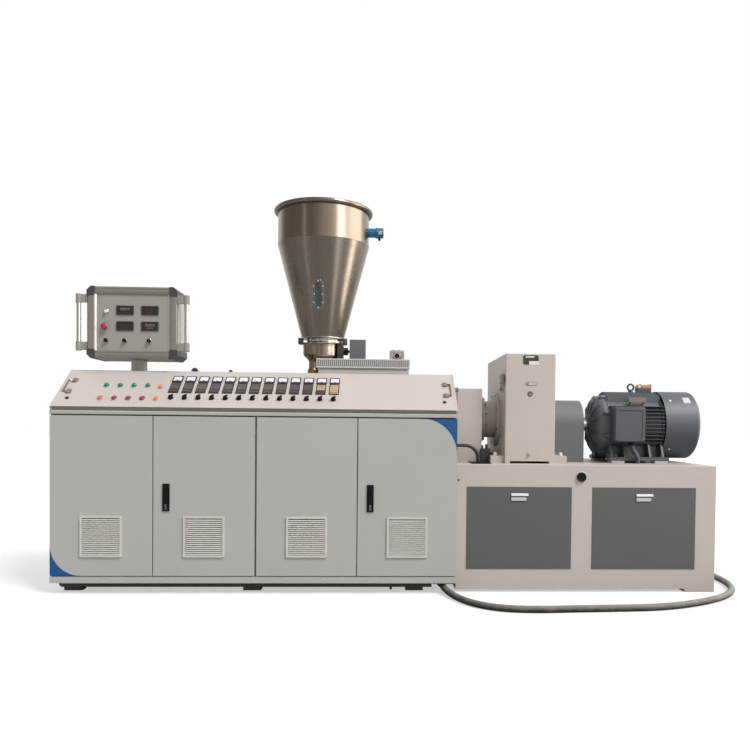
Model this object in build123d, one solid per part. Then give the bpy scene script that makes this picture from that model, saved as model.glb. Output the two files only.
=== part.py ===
"""A plastic extruder: switch cabinet with a sloped desk, hopper, barrel, gearbox and motor on one bed."""

import math
import os

from build123d import *

# Every length is in millimetres. X runs from the die end to the motor, Y from the front to the
# back and Z up from the floor. Places along X are counted from the cabinet's left side, and
# places along Y from the front face of its doors.

# Cabinet
cabinet_width = 2550.0
cabinet_depth = 460.0
cabinet_underside = 70.0
cabinet_height = 1080.0
cabinet_wall = 16.0
bottom_rail_height = 40.0
header_rail_height = 24.0
rail_depth = 45.0

# Doors, two to a bay, each turning on a pin above and a pin below
door_count = 4
door_thickness = 22.0
door_gap = 6.0
centre_gap = 12.0
edge_reveal = 2.0
door_back_gap = 8.0
pin_inset = 8.0
pin_radius = 3.5
pin_clearance = 0.3
pin_depth = 16.0
pin_hole_depth = 20.0

# Vent in the middle of each door
vent_size = 255.0
vent_frame_width = 11.0
vent_stand_out = 8.0
vent_pocket_depth = 8.0
vent_above_floor = 236.0

# Latch of the two doors that lock
latch_width = 43.0
latch_height = 172.0
latch_base_thickness = 6.0
latch_grip_width = 25.0
latch_grip_height = 120.0
latch_stand_out = 14.0
latch_from_edge = 58.0
latch_above_floor = 525.0
latch_fillet = 5.0

# Underframe and feet of the cabinet
underframe_start = 12.0
underframe_end_gap = 15.0
underframe_front = 110.0
underframe_height = 48.0
underframe_wall_gap = 10.0
underframe_end_radius = 22.0
cabinet_foot_length = 115.0
cabinet_foot_depth = 60.0
cabinet_foot_inset = 33.0
middle_foot_from_middle = 95.0
right_foot_from_end = 172.0
levelling_bolt_radius = 8.0
levelling_bolts_from_end = (267.0, 162.0)

# Sloped desk on the cabinet
desk_lip_height = 25.0
desk_lip_setback = 14.0
desk_run = 330.0
desk_rise = 250.0
desk_crest = 12.0
cheek_thickness = 12.0
cheek_proud = 2.0

# Instruments on the desk, placed by their distance up the slope
instrument_count = 13
instrument_pitch = 85.9
instrument_start = 722.0
meter_size = 68.0
meter_up = 314.0
meter_thickness = 9.0
controller_width = 66.0
controller_length = 117.0
controller_up = 215.5
controller_thickness = 11.0
selector_radius = 15.0
selector_height = 22.0
selector_up = 100.0
button_count = 4
button_start = 286.0
button_pitch = 87.5
button_radius = 16.0
button_height = 17.0
green_button_up = 230.0
red_button_up = 88.0
lamp_from_button = 88.0
green_lamp_up = 218.0
red_lamp_up = 86.0
lamp_radius = 18.0
lamp_height = 15.0

# Bow handles, locks and small knobs of the desk
bow_length = 136.0
bow_reach = 36.0
bow_rod = 10.0
bow_lift = 8.0
bow_inset = 66.0
bow_up = 222.0
lock_radius = 11.0
lock_height = 7.0
lock_up = 88.0
lock_inset = 80.0
crest_knob_places = (807.0, 1047.0)
crest_knob_radii = (24.0, 13.0)
crest_knob_lift = 3.0
crest_knob_depth = 9.0
side_knob_radius = 17.0
side_knob_length = 22.0
side_knob_back = 200.0
side_knob_above_nose = 143.0

# Control box on its post
box_left = 117.0
box_width = 590.0
box_height = 475.0
box_depth = 250.0
box_front = 280.0
box_above_desk = 76.0
profile_width = 52.0
panel_setback = 10.0
post_size = 80.0
post_depth = 80.0
post_front = 365.0
post_from_box = 264.0
post_foot_margin = 35.0
post_foot_thickness = 10.0
tube_radius = 15.0
tube_length = 367.0
tube_stand_out = 57.0
tube_bracket = 24.0
tube_bracket_height = 61.0
tube_back = 18.0
display_width = 112.0
display_height = 60.0
display_proud = 6.0
display_column_shares = (0.419, 0.693)
display_rows = (319.0, 215.0)
white_button_across = 124.0
white_button_up = 308.0
red_button_across = 117.0
red_button_up_box = 210.0
box_knob_up = 118.0
box_knobs_across = (124.0, 246.0, 405.0)
white_button_radius = 14.0
mushroom_radius = 25.0
box_knob_radius = 17.0
box_knob_height = 20.0
mushroom_height = 26.0

# Machine axis
axis_back = 600.0

# Hopper
hopper_past_housing_start = 16.0
hopper_radius = 320.0
hopper_wall = 6.0
hopper_outlet_radius = 150.0
hopper_cone_height = 646.0
hopper_cylinder_height = 238.0
rim_tube_radius = 15.0
rim_seat_share = 0.87
sight_width = 80.0
sight_length = 205.0
sight_above_outlet = 276.0
sight_thickness = 12.0
sight_sink = 14.0
sight_offset = -18.0
sensor_radius = 40.0
sensor_reach = 105.0
sensor_drop = 129.0
clamp_plate_thickness = 8.0
clamp_lug_width = 32.0
clamp_lug_depth = 44.0
clamp_lug_height = 43.0
clamp_lug_reach = 156.0

# Metering feeder under the hopper
cup_past_hopper = 13.0
cup_radius = 93.0
cup_ring_radius = 110.0
cup_ring_height = 26.0
cup_stand_height = 78.0
cup_height = 154.0
cup_corner_radius = 34.0
cup_stand_width = 110.0
cup_stand_depth = 90.0
chute_before_hopper = 67.0
chute_top_radius = 72.0
chute_neck_radius = 31.0
chute_foot_radius = 40.0
chute_bowl_height = 140.0
chute_straight_height = 70.0
chute_neck_height = 33.0
chute_flare_height = 23.0
chute_fit = 0.3
drive_plate_width = 40.0
drive_plate_depth = 120.0
drive_knob_radius = 26.0
drive_knob_length = 34.0
drive_knob_share = 0.75
drive_rod_radius = 9.0
feeder_motor_past_hopper = 192.0
feeder_motor_width = 113.0
feeder_motor_depth = 120.0
feeder_motor_height = 222.0

# Barrel and the housing round its feed end
barrel_start = 30.0
barrel_past_cabinet = 35.0
barrel_radius = 112.0
band_radius = 124.0
band_length_share = 0.0938
band_gap_share = 0.02814
band_count = 6
die_flange_radius = 134.0
die_flange_thickness = 45.0
die_bore_radius = 45.0
die_bore_depth = 120.0
die_bolt_circle = 236.0
die_bolt_count = 8
die_bolt_radius = 8.0
die_bolt_depth = 30.0
barrel_foot_shares = (0.1438, 0.6817)
barrel_foot_length = 90.0
barrel_foot_width = 220.0
housing_to_thrust = 333.0
housing_length = 623.0
housing_rise = 358.0
housing_depth = 355.0
housing_front_gap = 5.0
tray_front = 405.0
tray_thickness = 28.0
duct_overhang = 14.0
duct_length = 643.0
duct_front = 400.0
duct_depth = 80.0
duct_height = 61.0
duct_foot_height = 11.0
duct_foot_inset = 14.0
fitting_inset = 494.0
fitting_width = 98.0
fitting_depth = 90.0
fitting_height = 75.0
fitting_neck_height = 75.0
fitting_neck_margin = 12.0
fitting_port_radius = 17.0
fitting_port_depth = 18.0

# Bed
bed_top = 831.0
motor_ground_gap = 33.0
bed_underside = 20.0
bed_back = 1140.0
barrel_bed_start = 20.0
drive_bed_front = 60.0
base_past_motor_foot = 195.0
bed_pad_length = 200.0
bed_pad_depth = 90.0
bed_pad_inset = 90.0
skid_length = 133.0
skid_front = 200.0
skid_top_gap = 8.0
panel_width = 686.0
panel_height = 534.0
panel_gap = 137.0
panel_proud = 4.0
panel_above_floor = 152.0
front_panel_margin = 71.0
rear_panel_count = 5
plate_width = 109.0
plate_height = 48.0
plate_proud = 5.0
plate_drop = 40.0
plug_radius = 30.0
plug_proud = 14.0
plug_place = 819.0
plug_above_floor = 753.0
cable_plate_start = 110.0
cable_plate_width = 130.0
cable_plate_front = 120.0
cable_plate_depth = 200.0
cable_plate_thickness = 6.0

# Drive train on the bed
thrust_box_length = 167.0
thrust_box_front = 330.0
thrust_box_top = 1333.0
drive_flange_gap = 12.0
drive_flange_thickness = 28.0
drive_flange_radius = 160.0
drive_neck_rise = 28.0
drive_neck_radius = 130.0
gearbox_gap = 138.0
gearbox_width = 337.0
gearbox_front = 205.0
gearbox_depth = 780.0
gearbox_top = 1565.0
gearbox_edge = 6.0
gearbox_foot_reach = 90.0
gearbox_foot_height = 50.0
gearbox_foot_front_inset = 25.0
slot_width = 264.0
slot_height = 15.0
guard_length = 262.0
guard_radius = 170.0
motor_shaft_gap = 69.0
motor_length = 438.0
motor_radius = 236.0
shield_radius = 205.0
shield_length = 40.0
hub_radius = 92.0
hub_length = 14.0
cowl_length = 250.0
cowl_radius = 241.0
cowl_edge = 26.0
motor_foot_inset = 41.0
motor_foot_length = 418.0
motor_foot_width = 84.0
motor_foot_height = 50.0
motor_foot_spread = 406.0
motor_leg_width = 60.0
motor_leg_sink = 47.0
shaft_radius = 38.0
terminal_inset = 52.0
terminal_width = 211.0
terminal_height = 237.0
terminal_front = 300.0
terminal_depth = 120.0
terminal_edge = 8.0
top_box_inset = 306.0
top_box_length = 102.0
top_box_width = 60.0
top_box_height = 50.0
eye_inset = 265.0
eye_ring_radius = 22.0
eye_rod_radius = 7.0
eye_boss_radius = 17.0
eye_boss_height = 20.0
ring_sink = 4.0

# Cables held at both ends
side_cable_radius = 11.0
side_cable_spacing = 30.0
side_cable_front = 205.0
side_cable_drop_place = 165.0
side_cable_height = 948.0
side_cable_bend = 90.0
motor_cable_radius = 16.0
motor_cable_top_back = 338.0
motor_cable_foot_back = 322.0
motor_cable_top_inset = 136.0
motor_cable_foot_shift = 35.0
motor_cable_bend = 70.0
motor_cable_leg = 45.0

# Floor hose
hose_radius = 21.0
gland_radius = 29.0
gland_length = 38.0
gland_height = 38.0
start_gland_inset = 80.0
end_gland_back = 700.0
end_gland_angle = 60.0
end_gland_lead = 90.0
run_share = 0.45

# Overrun of every cut
cut_over = 20.0

# Places worked out from the sizes
barrel_height = bed_top + motor_radius + motor_ground_gap
housing_top = barrel_height + housing_rise
housing_start = cabinet_width + barrel_past_cabinet - housing_to_thrust - housing_length
barrel_run = housing_start - barrel_start
band_length = band_length_share * barrel_run
band_gap = band_gap_share * barrel_run
hopper_centre = housing_start + hopper_past_housing_start
cup_bottom = housing_top + cup_stand_height
hopper_bottom = cup_bottom + cup_height
hopper_seam = hopper_bottom + hopper_cone_height
hopper_top = hopper_seam + hopper_cylinder_height
drive_plate_top = hopper_bottom - clamp_lug_height
drive_knob_height = housing_top + drive_knob_share * (drive_plate_top - housing_top)
drive_flange_height = barrel_height + drive_neck_rise
thrust_box_end = cabinet_width + barrel_past_cabinet + thrust_box_length
drive_flange_start = thrust_box_end + drive_flange_gap
gearbox_start = thrust_box_end + gearbox_gap
guard_end = gearbox_start + gearbox_width + guard_length
motor_start = guard_end + motor_shaft_gap + hub_length + shield_length
motor_foot_start = motor_start + motor_foot_inset
terminal_start = motor_start + terminal_inset
top_box_start = motor_start + top_box_inset
overall_length = motor_start + motor_length + cowl_length
overall_depth = bed_back + panel_proud + latch_stand_out
left = -overall_length / 2
front = -overall_depth / 2 + latch_stand_out
axis_y = front + axis_back
bed_right = left + motor_foot_start + motor_foot_length + base_past_motor_foot
cabinet_right = left + cabinet_width
cabinet_back = front + cabinet_depth
cabinet_top = cabinet_underside + cabinet_height
desk_front_z = cabinet_top + desk_lip_height
desk_crest_z = desk_front_z + desk_rise
box_underside = desk_crest_z + box_above_desk
slope = math.degrees(math.atan2(desk_rise, desk_run))
door_width = (cabinet_width - 2 * edge_reveal - 2 * door_gap - centre_gap) / door_count
door_bottom = cabinet_underside + bottom_rail_height + door_gap
door_top = cabinet_top - header_rail_height - door_gap


def slab(x_span, y_span, z_span):
    """A box between two places along each axis."""
    low = (x_span[0], y_span[0], z_span[0])
    size = (x_span[1] - x_span[0], y_span[1] - y_span[0], z_span[1] - z_span[0])
    return Pos(*low) * Box(*size, align=(Align.MIN, Align.MIN, Align.MIN))


def rod(start, end, radius):
    """A round bar from one point to another."""
    along = Vector(*end) - Vector(*start)
    plane = Plane(origin=start, z_dir=along)
    return plane * Cylinder(radius, along.length, align=(Align.CENTER, Align.CENTER, Align.MIN))


def turned(profile, centre, axis=Axis.Z):
    """A solid turned from (radius, place) pairs about an upright or a lengthwise axis."""
    points = [(radius, place) for radius, place in profile]
    face = make_face(Plane.XZ * Polyline(*points, close=True))
    solid = revolve(face, Axis.Z)
    if axis == Axis.X:
        solid = Rot(0, 90, 0) * solid
    return Pos(*centre) * solid


def on_slope(place, up, lift=0.0):
    """The desk's sloped face as a plane, with its origin at a place along it and up it."""
    rise = math.radians(slope)
    y = front + up * math.cos(rise) - lift * math.sin(rise)
    z = desk_front_z + up * math.sin(rise) + lift * math.cos(rise)
    normal = (0, -math.sin(rise), math.cos(rise))
    return Plane(origin=(left + place, y, z), x_dir=(1, 0, 0), z_dir=normal)


def joined(solids):
    """One shape fused from several solids that touch."""
    whole = solids[0]
    for solid in solids[1:]:
        whole = whole + solid
    return whole


def apart(solids):
    """Several solids that don't touch, kept as one group."""
    return Compound(children=[s for shape in solids for s in shape.solids()])


# Cabinet


def door_start(number):
    """The left edge of a door, counted from 0."""
    gaps = (0, door_gap, door_gap + centre_gap, 2 * door_gap + centre_gap)
    return left + edge_reveal + number * door_width + gaps[number]


def hinge_place(number):
    """The pin axis of a door: doors 0 and 2 turn on their left edge, 1 and 3 on their right."""
    start = door_start(number)
    return start + pin_inset if number % 2 == 0 else start + door_width - pin_inset


def hinge_back():
    return front + pin_inset


def cabinet_sides():
    y_span = (front + door_thickness + door_back_gap, cabinet_back - cabinet_wall)
    z_span = (cabinet_underside + bottom_rail_height, cabinet_top - header_rail_height)
    middle = left + cabinet_width / 2
    starts = (left, middle - cabinet_wall / 2, cabinet_right - cabinet_wall)
    plates = []
    for start in starts:
        plate = slab((start, start + cabinet_wall), y_span, z_span)
        plates.append(plate)
    return apart(plates)


def cabinet_top_and_floor():
    y_span = (front + rail_depth, cabinet_back - cabinet_wall)
    floor_top = cabinet_underside + bottom_rail_height
    floor = slab((left, cabinet_right), y_span, (floor_top - cabinet_wall, floor_top))
    roof_bottom = cabinet_top - header_rail_height
    roof = slab((left, cabinet_right), y_span, (roof_bottom, cabinet_top))
    return apart([floor, roof])


def cabinet_back_sheet():
    y_span = (cabinet_back - cabinet_wall, cabinet_back)
    return slab((left, cabinet_right), y_span, (cabinet_underside, cabinet_top))


def cabinet_rails():
    y_span = (front, front + rail_depth)
    lower_top = cabinet_underside + bottom_rail_height
    lower = slab((left, cabinet_right), y_span, (cabinet_underside, lower_top))
    upper_bottom = cabinet_top - header_rail_height
    upper = slab((left, cabinet_right), y_span, (upper_bottom, cabinet_top))
    for number in range(door_count):
        x, y = hinge_place(number), hinge_back()
        lower = lower + rod((x, y, lower_top - pin_depth), (x, y, door_bottom + pin_depth), pin_radius)
        upper = upper + rod((x, y, door_top - pin_depth), (x, y, upper_bottom + pin_depth), pin_radius)
    return apart([lower, upper])


def underframe_box():
    """The underframe's span along each axis."""
    x_span = (left + underframe_start, cabinet_right - skid_length - underframe_end_gap)
    y_span = (front + underframe_front, cabinet_back - underframe_wall_gap)
    return x_span, y_span, (cabinet_underside - underframe_height, cabinet_underside)


def underframe():
    frame = slab(*underframe_box())
    corner = frame.edges().filter_by(Axis.Y).group_by(Axis.X)[0]
    return fillet(corner.group_by(Axis.Z)[0], underframe_end_radius)


def cabinet_feet():
    x_span, y_span, z_span = underframe_box()
    foot_starts = (
        x_span[0] + cabinet_foot_inset,
        left + cabinet_width / 2 - middle_foot_from_middle,
        x_span[1] - right_foot_from_end,
    )
    feet = []
    for x in foot_starts:
        for y in (y_span[0], y_span[1] - cabinet_foot_depth):
            feet.append(slab((x, x + cabinet_foot_length), (y, y + cabinet_foot_depth), (0, z_span[0])))
    for distance in levelling_bolts_from_end:
        x = x_span[1] - distance
        y = y_span[0] + cabinet_foot_depth / 2
        feet.append(rod((x, y, 0), (x, y, z_span[0]), levelling_bolt_radius))
    return apart(feet)


def door(number):
    x = door_start(number)
    leaf = slab((x, x + door_width), (front, front + door_thickness), (door_bottom, door_top))
    middle = x + door_width / 2
    half = vent_size / 2
    z = vent_above_floor
    ring = slab((middle - half, middle + half), (front - vent_stand_out, front), (z, z + vent_size))
    inner = half - vent_frame_width
    window = slab(
        (middle - inner, middle + inner),
        (front - vent_stand_out - cut_over, front + vent_pocket_depth),
        (z + vent_frame_width, z + vent_size - vent_frame_width),
    )
    panel = leaf + ring - window
    hole = pin_radius + pin_clearance
    px, py = hinge_place(number), hinge_back()
    for end, inward in ((door_bottom, 1), (door_top, -1)):
        outside = end - inward * cut_over
        inside = end + inward * pin_hole_depth
        panel = panel - rod((px, py, outside), (px, py, inside), hole)
    return panel


def door_latch(number):
    x = door_start(number) + latch_from_edge
    z = latch_above_floor
    back = front - latch_base_thickness
    base = slab((x, x + latch_width), (back, front), (z, z + latch_height))
    side = (latch_width - latch_grip_width) / 2
    end = (latch_height - latch_grip_height) / 2
    grip = slab(
        (x + side, x + latch_width - side),
        (front - latch_stand_out, back),
        (z + end, z + latch_height - end),
    )
    latch = base + grip
    return fillet(latch.edges().filter_by(Axis.Y).group_by(SortBy.LENGTH)[-1], latch_fillet)


# Desk


def console_desk():
    lip = (front + desk_lip_setback, cabinet_top)
    nose = (front, desk_front_z)
    crest = (front + desk_run, desk_crest_z)
    back = (front + desk_run + desk_crest, desk_crest_z)
    foot = (front + desk_run + desk_crest, cabinet_top)
    outline = make_face(Plane.YZ * Polyline(lip, nose, crest, back, foot, close=True))
    desk_width = cabinet_width - 2 * cheek_thickness
    desk = Pos(left + cheek_thickness, 0, 0) * extrude(outline, desk_width, dir=(1, 0, 0))
    raised = [
        lip,
        (nose[0] - cheek_proud, nose[1]),
        (crest[0] - cheek_proud, crest[1] + cheek_proud),
        (back[0], back[1] + cheek_proud),
        foot,
    ]
    end_outline = make_face(Plane.YZ * Polyline(*raised, close=True))
    end = extrude(end_outline, cheek_thickness, dir=(1, 0, 0))
    return desk + Pos(left, 0, 0) * end + Pos(cabinet_right - cheek_thickness, 0, 0) * end


def slope_blocks(width, length, thickness, up):
    blocks = []
    for number in range(instrument_count):
        plane = on_slope(instrument_start + number * instrument_pitch, up)
        blocks.append(plane * Box(width, length, thickness, align=(Align.CENTER, Align.CENTER, Align.MIN)))
    return apart(blocks)


def slope_studs(places, up, radius, height):
    studs = []
    for place in places:
        plane = on_slope(place, up)
        studs.append(plane * Cylinder(radius, height, align=(Align.CENTER, Align.CENTER, Align.MIN)))
    return studs


def selector_knobs():
    places = [instrument_start + n * instrument_pitch for n in range(instrument_count)]
    return apart(slope_studs(places, selector_up, selector_radius, selector_height))


def push_buttons():
    places = [button_start + n * button_pitch for n in range(button_count)]
    lamp = [places[-1] + lamp_from_button]
    solids = []
    for up, lamp_up in ((green_button_up, green_lamp_up), (red_button_up, red_lamp_up)):
        solids += slope_studs(places, up, button_radius, button_height)
        solids += slope_studs(lamp, lamp_up, lamp_radius, lamp_height)
    return apart(solids)


def bow(place, toward):
    """A bow handle that lies low over the desk on two legs turned to one side."""
    radius = bow_rod / 2
    half = bow_length / 2 - radius
    corners = []
    for side in (-half, half):
        foot = on_slope(place, bow_up + side).origin
        knee = on_slope(place + toward * bow_reach, bow_up + side, bow_lift).origin
        corners.append((foot, knee))
    (low_foot, low_knee), (high_foot, high_knee) = corners
    pieces = [rod(low_foot, low_knee, radius), rod(high_foot, high_knee, radius)]
    pieces.append(rod(low_knee, high_knee, radius))
    pieces += [Pos(*knee) * Sphere(radius) for knee in (low_knee, high_knee)]
    whole = joined(pieces)
    return whole - console_desk()


def desk_fittings():
    solids = slope_studs((lock_inset, cabinet_width - lock_inset), lock_up, lock_radius, lock_height)
    for place, radius in zip(crest_knob_places, crest_knob_radii):
        back = front + desk_run + desk_crest
        z = desk_crest_z + crest_knob_lift
        solids.append(rod((left + place, back, z), (left + place, back + crest_knob_depth, z), radius))
    knob_y = front + side_knob_back
    knob_z = desk_front_z + side_knob_above_nose
    start = (cabinet_right, knob_y, knob_z)
    end = (cabinet_right + side_knob_length, knob_y, knob_z)
    solids.append(rod(start, end, side_knob_radius))
    return apart(solids)


def bow_handles():
    first = bow(bow_inset, -1)
    last = bow(cabinet_width - bow_inset, 1)
    return apart([first, last])


# Control box

box_x = left + box_left
box_y = front + box_front
box_top = box_underside + box_height


def control_post():
    x = box_x + post_from_box
    y = front + post_front
    post = slab((x, x + post_size), (y, y + post_depth), (cabinet_top, box_underside))
    foot_y = (front + desk_run + desk_crest, y + post_depth)
    foot_x = (x - post_foot_margin, x + post_size + post_foot_margin)
    foot = slab(foot_x, foot_y, (cabinet_top, cabinet_top + post_foot_thickness))
    return post + foot


def control_box():
    return slab(
        (box_x + profile_width, box_x + box_width - profile_width),
        (box_y + panel_setback, box_y + box_depth),
        (box_underside + profile_width, box_top - profile_width),
    )


def control_box_frame():
    outer = slab((box_x, box_x + box_width), (box_y, box_y + box_depth), (box_underside, box_top))
    inner = slab(
        (box_x + profile_width, box_x + box_width - profile_width),
        (box_y - cut_over, box_y + box_depth + cut_over),
        (box_underside + profile_width, box_top - profile_width),
    )
    return outer - inner


def control_box_handles():
    solids = []
    middle = box_underside + box_height / 2
    ends = (middle - tube_length / 2, middle + tube_length / 2)
    y = box_y + tube_back
    for side, x in ((-1, box_x), (1, box_x + box_width)):
        tube_x = x + side * tube_stand_out
        handle = rod((tube_x, y, ends[0]), (tube_x, y, ends[1]), tube_radius)
        for end, inward in ((ends[0], 1), (ends[1], -1)):
            z_span = sorted((end, end + inward * tube_bracket_height))
            x_span = sorted((x, tube_x))
            bracket = slab(x_span, (y - tube_bracket / 2, y + tube_bracket / 2), z_span)
            handle = handle + bracket
        solids.append(handle)
    return apart(solids)


def control_box_fittings():
    panel = box_y + panel_setback
    solids = []
    for share in display_column_shares:
        for row in display_rows:
            x, z = box_x + share * box_width, box_underside + row
            x_span = (x - display_width / 2, x + display_width / 2)
            z_span = (z - display_height / 2, z + display_height / 2)
            solids.append(slab(x_span, (panel - display_proud, panel), z_span))
    buttons = [
        (white_button_across, white_button_up, white_button_radius, box_knob_height),
        (red_button_across, red_button_up_box, mushroom_radius, mushroom_height),
    ]
    for across in box_knobs_across:
        buttons.append((across, box_knob_up, box_knob_radius, box_knob_height))
    for across, up, radius, height in buttons:
        x, z = box_x + across, box_underside + up
        solids.append(rod((x, panel, z), (x, panel - height, z), radius))
    return apart(solids)


# Hopper

hopper_x = left + hopper_centre


def hopper_cylinder():
    inner = hopper_radius - hopper_wall
    tube = turned(
        [
            (inner, hopper_seam),
            (hopper_radius, hopper_seam),
            (hopper_radius, hopper_top),
            (inner, hopper_top),
        ],
        (hopper_x, axis_y, 0),
    )
    roll = hopper_radius + rim_tube_radius * rim_seat_share
    rim = Pos(hopper_x, axis_y, hopper_top) * Torus(roll, rim_tube_radius)
    return tube + rim


def cone_profile(grow=0.0):
    return (
        (hopper_outlet_radius + grow, hopper_bottom),
        (hopper_radius + grow, hopper_seam),
    )


def hopper_cone():
    outside = cone_profile()
    inside = cone_profile(-hopper_wall)
    return turned([inside[0], outside[0], outside[1], inside[1]], (hopper_x, axis_y, 0))


def filled_cone():
    outside = cone_profile()
    centre = [(0, hopper_seam), (0, hopper_bottom)]
    return turned([outside[0], outside[1], *centre], (hopper_x, axis_y, 0))


def sight_glass():
    taper = (hopper_radius - hopper_outlet_radius) / (hopper_seam - hopper_bottom)
    lean = math.degrees(math.atan(taper))
    radius = hopper_outlet_radius + sight_above_outlet * taper
    deep = sight_thickness + sight_sink
    plate = extrude(SlotCenterToCenter(sight_length - sight_width, sight_width), deep)
    plate = Rot(0, 0, 90) * plate
    place = Pos(hopper_x + sight_offset, axis_y - radius, hopper_bottom + sight_above_outlet)
    turned_plate = place * Rot(90 + lean, 0, 0) * Pos(0, 0, -sight_sink) * plate
    return turned_plate - filled_cone()


def level_sensor():
    z = hopper_top - sensor_drop
    start = (hopper_x + hopper_radius - sensor_radius, axis_y, z)
    end = (hopper_x + hopper_radius + sensor_reach, axis_y, z)
    inside = Pos(hopper_x, axis_y, z) * Cylinder(hopper_radius, 4 * sensor_radius)
    return rod(start, end, sensor_radius) - inside


def hopper_clamp():
    z_span = (hopper_bottom - clamp_plate_thickness, hopper_bottom)
    middle = (z_span[0] + z_span[1]) / 2
    plate = Pos(hopper_x, axis_y, middle) * Cylinder(hopper_outlet_radius, clamp_plate_thickness)
    bore = Pos(hopper_x, axis_y, middle) * Cylinder(cup_radius, clamp_plate_thickness + cut_over)
    ring = plate
    for side in (-1, 1):
        x = hopper_x + side * clamp_lug_reach
        lug = slab(
            (x - clamp_lug_width / 2, x + clamp_lug_width / 2),
            (axis_y - clamp_lug_depth / 2, axis_y + clamp_lug_depth / 2),
            (hopper_bottom - clamp_lug_height, hopper_bottom),
        )
        ring = ring + lug
    return ring - bore


# Feeder

cup_x = hopper_x + cup_past_hopper
ring_top = hopper_bottom - clamp_plate_thickness


def feeder_cup():
    ring_bottom = ring_top - cup_ring_height
    body = Pos(cup_x, axis_y, cup_bottom) * Cylinder(
        cup_radius, ring_bottom - cup_bottom, align=(Align.CENTER, Align.CENTER, Align.MIN)
    )
    body = fillet(body.edges().sort_by(Axis.Z)[0], cup_corner_radius)
    ring = Pos(cup_x, axis_y, ring_bottom) * Cylinder(
        cup_ring_radius, cup_ring_height, align=(Align.CENTER, Align.CENTER, Align.MIN)
    )
    stand = slab(
        (cup_x - cup_stand_width / 2 + cup_corner_radius, cup_x + cup_stand_width / 2),
        (axis_y - cup_stand_depth / 2, axis_y + cup_stand_depth / 2),
        (housing_top, cup_bottom),
    )
    return body + ring + stand


def feed_chute():
    top = ring_top
    bowl_bottom = top - cup_ring_height - chute_bowl_height
    neck_bottom = bowl_bottom - chute_neck_height
    foot = neck_bottom - chute_flare_height
    seat = barrel_height + barrel_radius - chute_neck_radius / 2
    upper = top - cup_ring_height
    shoulder = upper - chute_straight_height
    with BuildSketch(Plane.XZ) as outline:
        with BuildLine():
            Polyline((0, foot), (0, upper), (chute_top_radius, upper), (chute_top_radius, shoulder))
            Spline(
                (chute_top_radius, shoulder),
                (chute_neck_radius, bowl_bottom),
                tangents=((0, -1), (0, -1)),
            )
            Polyline(
                (chute_neck_radius, bowl_bottom),
                (chute_neck_radius, neck_bottom),
                (chute_foot_radius, foot),
                (0, foot),
            )
        make_face()
    bowl = revolve(outline.sketch, Axis.Z)
    chute_x = hopper_x - chute_before_hopper
    bowl = Pos(chute_x, axis_y, 0) * bowl
    throat = rod((chute_x, axis_y, seat), (chute_x, axis_y, foot), chute_foot_radius)
    barrel_room = rod(
        (chute_x - barrel_radius, axis_y, barrel_height),
        (chute_x + barrel_radius, axis_y, barrel_height),
        barrel_radius,
    )
    cup_room = Pos(cup_x, axis_y, (cup_bottom + top) / 2) * Cylinder(
        cup_radius + chute_fit, top - cup_bottom
    )
    stand_room = slab(
        (cup_x - cup_stand_width / 2 + cup_corner_radius - chute_fit, cup_x + cup_stand_width),
        (axis_y - cup_stand_depth, axis_y + cup_stand_depth),
        (housing_top - cut_over, cup_bottom + chute_fit),
    )
    housing_room = slab(
        (left + housing_start - chute_fit, left + housing_start + housing_length),
        (axis_y - housing_depth, axis_y + housing_depth),
        (bed_top, housing_top + chute_fit),
    )
    return bowl + throat - barrel_room - cup_room - stand_room - housing_room


def feeder_drive():
    x = cup_x + cup_radius
    plate = slab(
        (x - drive_plate_width / 2, x + drive_plate_width),
        (axis_y - drive_plate_depth / 2, axis_y + drive_plate_depth / 2),
        (housing_top, drive_plate_top),
    )
    start = x + drive_plate_width
    knob = rod(
        (start, axis_y, drive_knob_height),
        (start + drive_knob_length, axis_y, drive_knob_height),
        drive_knob_radius,
    )
    link = rod(
        (start, axis_y, drive_knob_height),
        (hopper_x + feeder_motor_past_hopper, axis_y, drive_knob_height),
        drive_rod_radius,
    )
    cup_room = Pos(cup_x, axis_y, (housing_top + hopper_bottom) / 2) * Cylinder(
        cup_ring_radius + chute_fit, hopper_bottom - housing_top
    )
    return plate + knob + link - cup_room


def feeder_motor():
    x = hopper_x + feeder_motor_past_hopper
    half = feeder_motor_depth / 2
    y_span = (axis_y - half, axis_y + half)
    return slab((x, x + feeder_motor_width), y_span, (housing_top, housing_top + feeder_motor_height))


# Barrel and housing

barrel_x = left + barrel_start


def barrel():
    face = barrel_x
    flange = rod(
        (face, axis_y, barrel_height),
        (face + die_flange_thickness, axis_y, barrel_height),
        die_flange_radius,
    )
    housing_left = left + housing_start
    front_length = rod(
        (face + die_flange_thickness, axis_y, barrel_height),
        (housing_left, axis_y, barrel_height),
        barrel_radius,
    )
    whole = flange + front_length
    start = face + die_flange_thickness + band_gap
    for number in range(band_count):
        x = start + number * (band_length + band_gap)
        band = rod((x, axis_y, barrel_height), (x + band_length, axis_y, barrel_height), band_radius)
        whole = whole + band
    bore = rod(
        (face - cut_over, axis_y, barrel_height),
        (face + die_bore_depth, axis_y, barrel_height),
        die_bore_radius,
    )
    whole = whole - bore
    for number in range(die_bolt_count):
        angle = math.radians((number + 0.5) * 360 / die_bolt_count)
        y = axis_y + die_bolt_circle / 2 * math.cos(angle)
        z = barrel_height + die_bolt_circle / 2 * math.sin(angle)
        hole = rod((face - cut_over, y, z), (face + die_bolt_depth, y, z), die_bolt_radius)
        whole = whole - hole
    housing_right = left + housing_start + housing_length
    rear_length = rod(
        (housing_right, axis_y, barrel_height),
        (cabinet_right + barrel_past_cabinet, axis_y, barrel_height),
        barrel_radius,
    )
    return apart([whole, rear_length])


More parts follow.
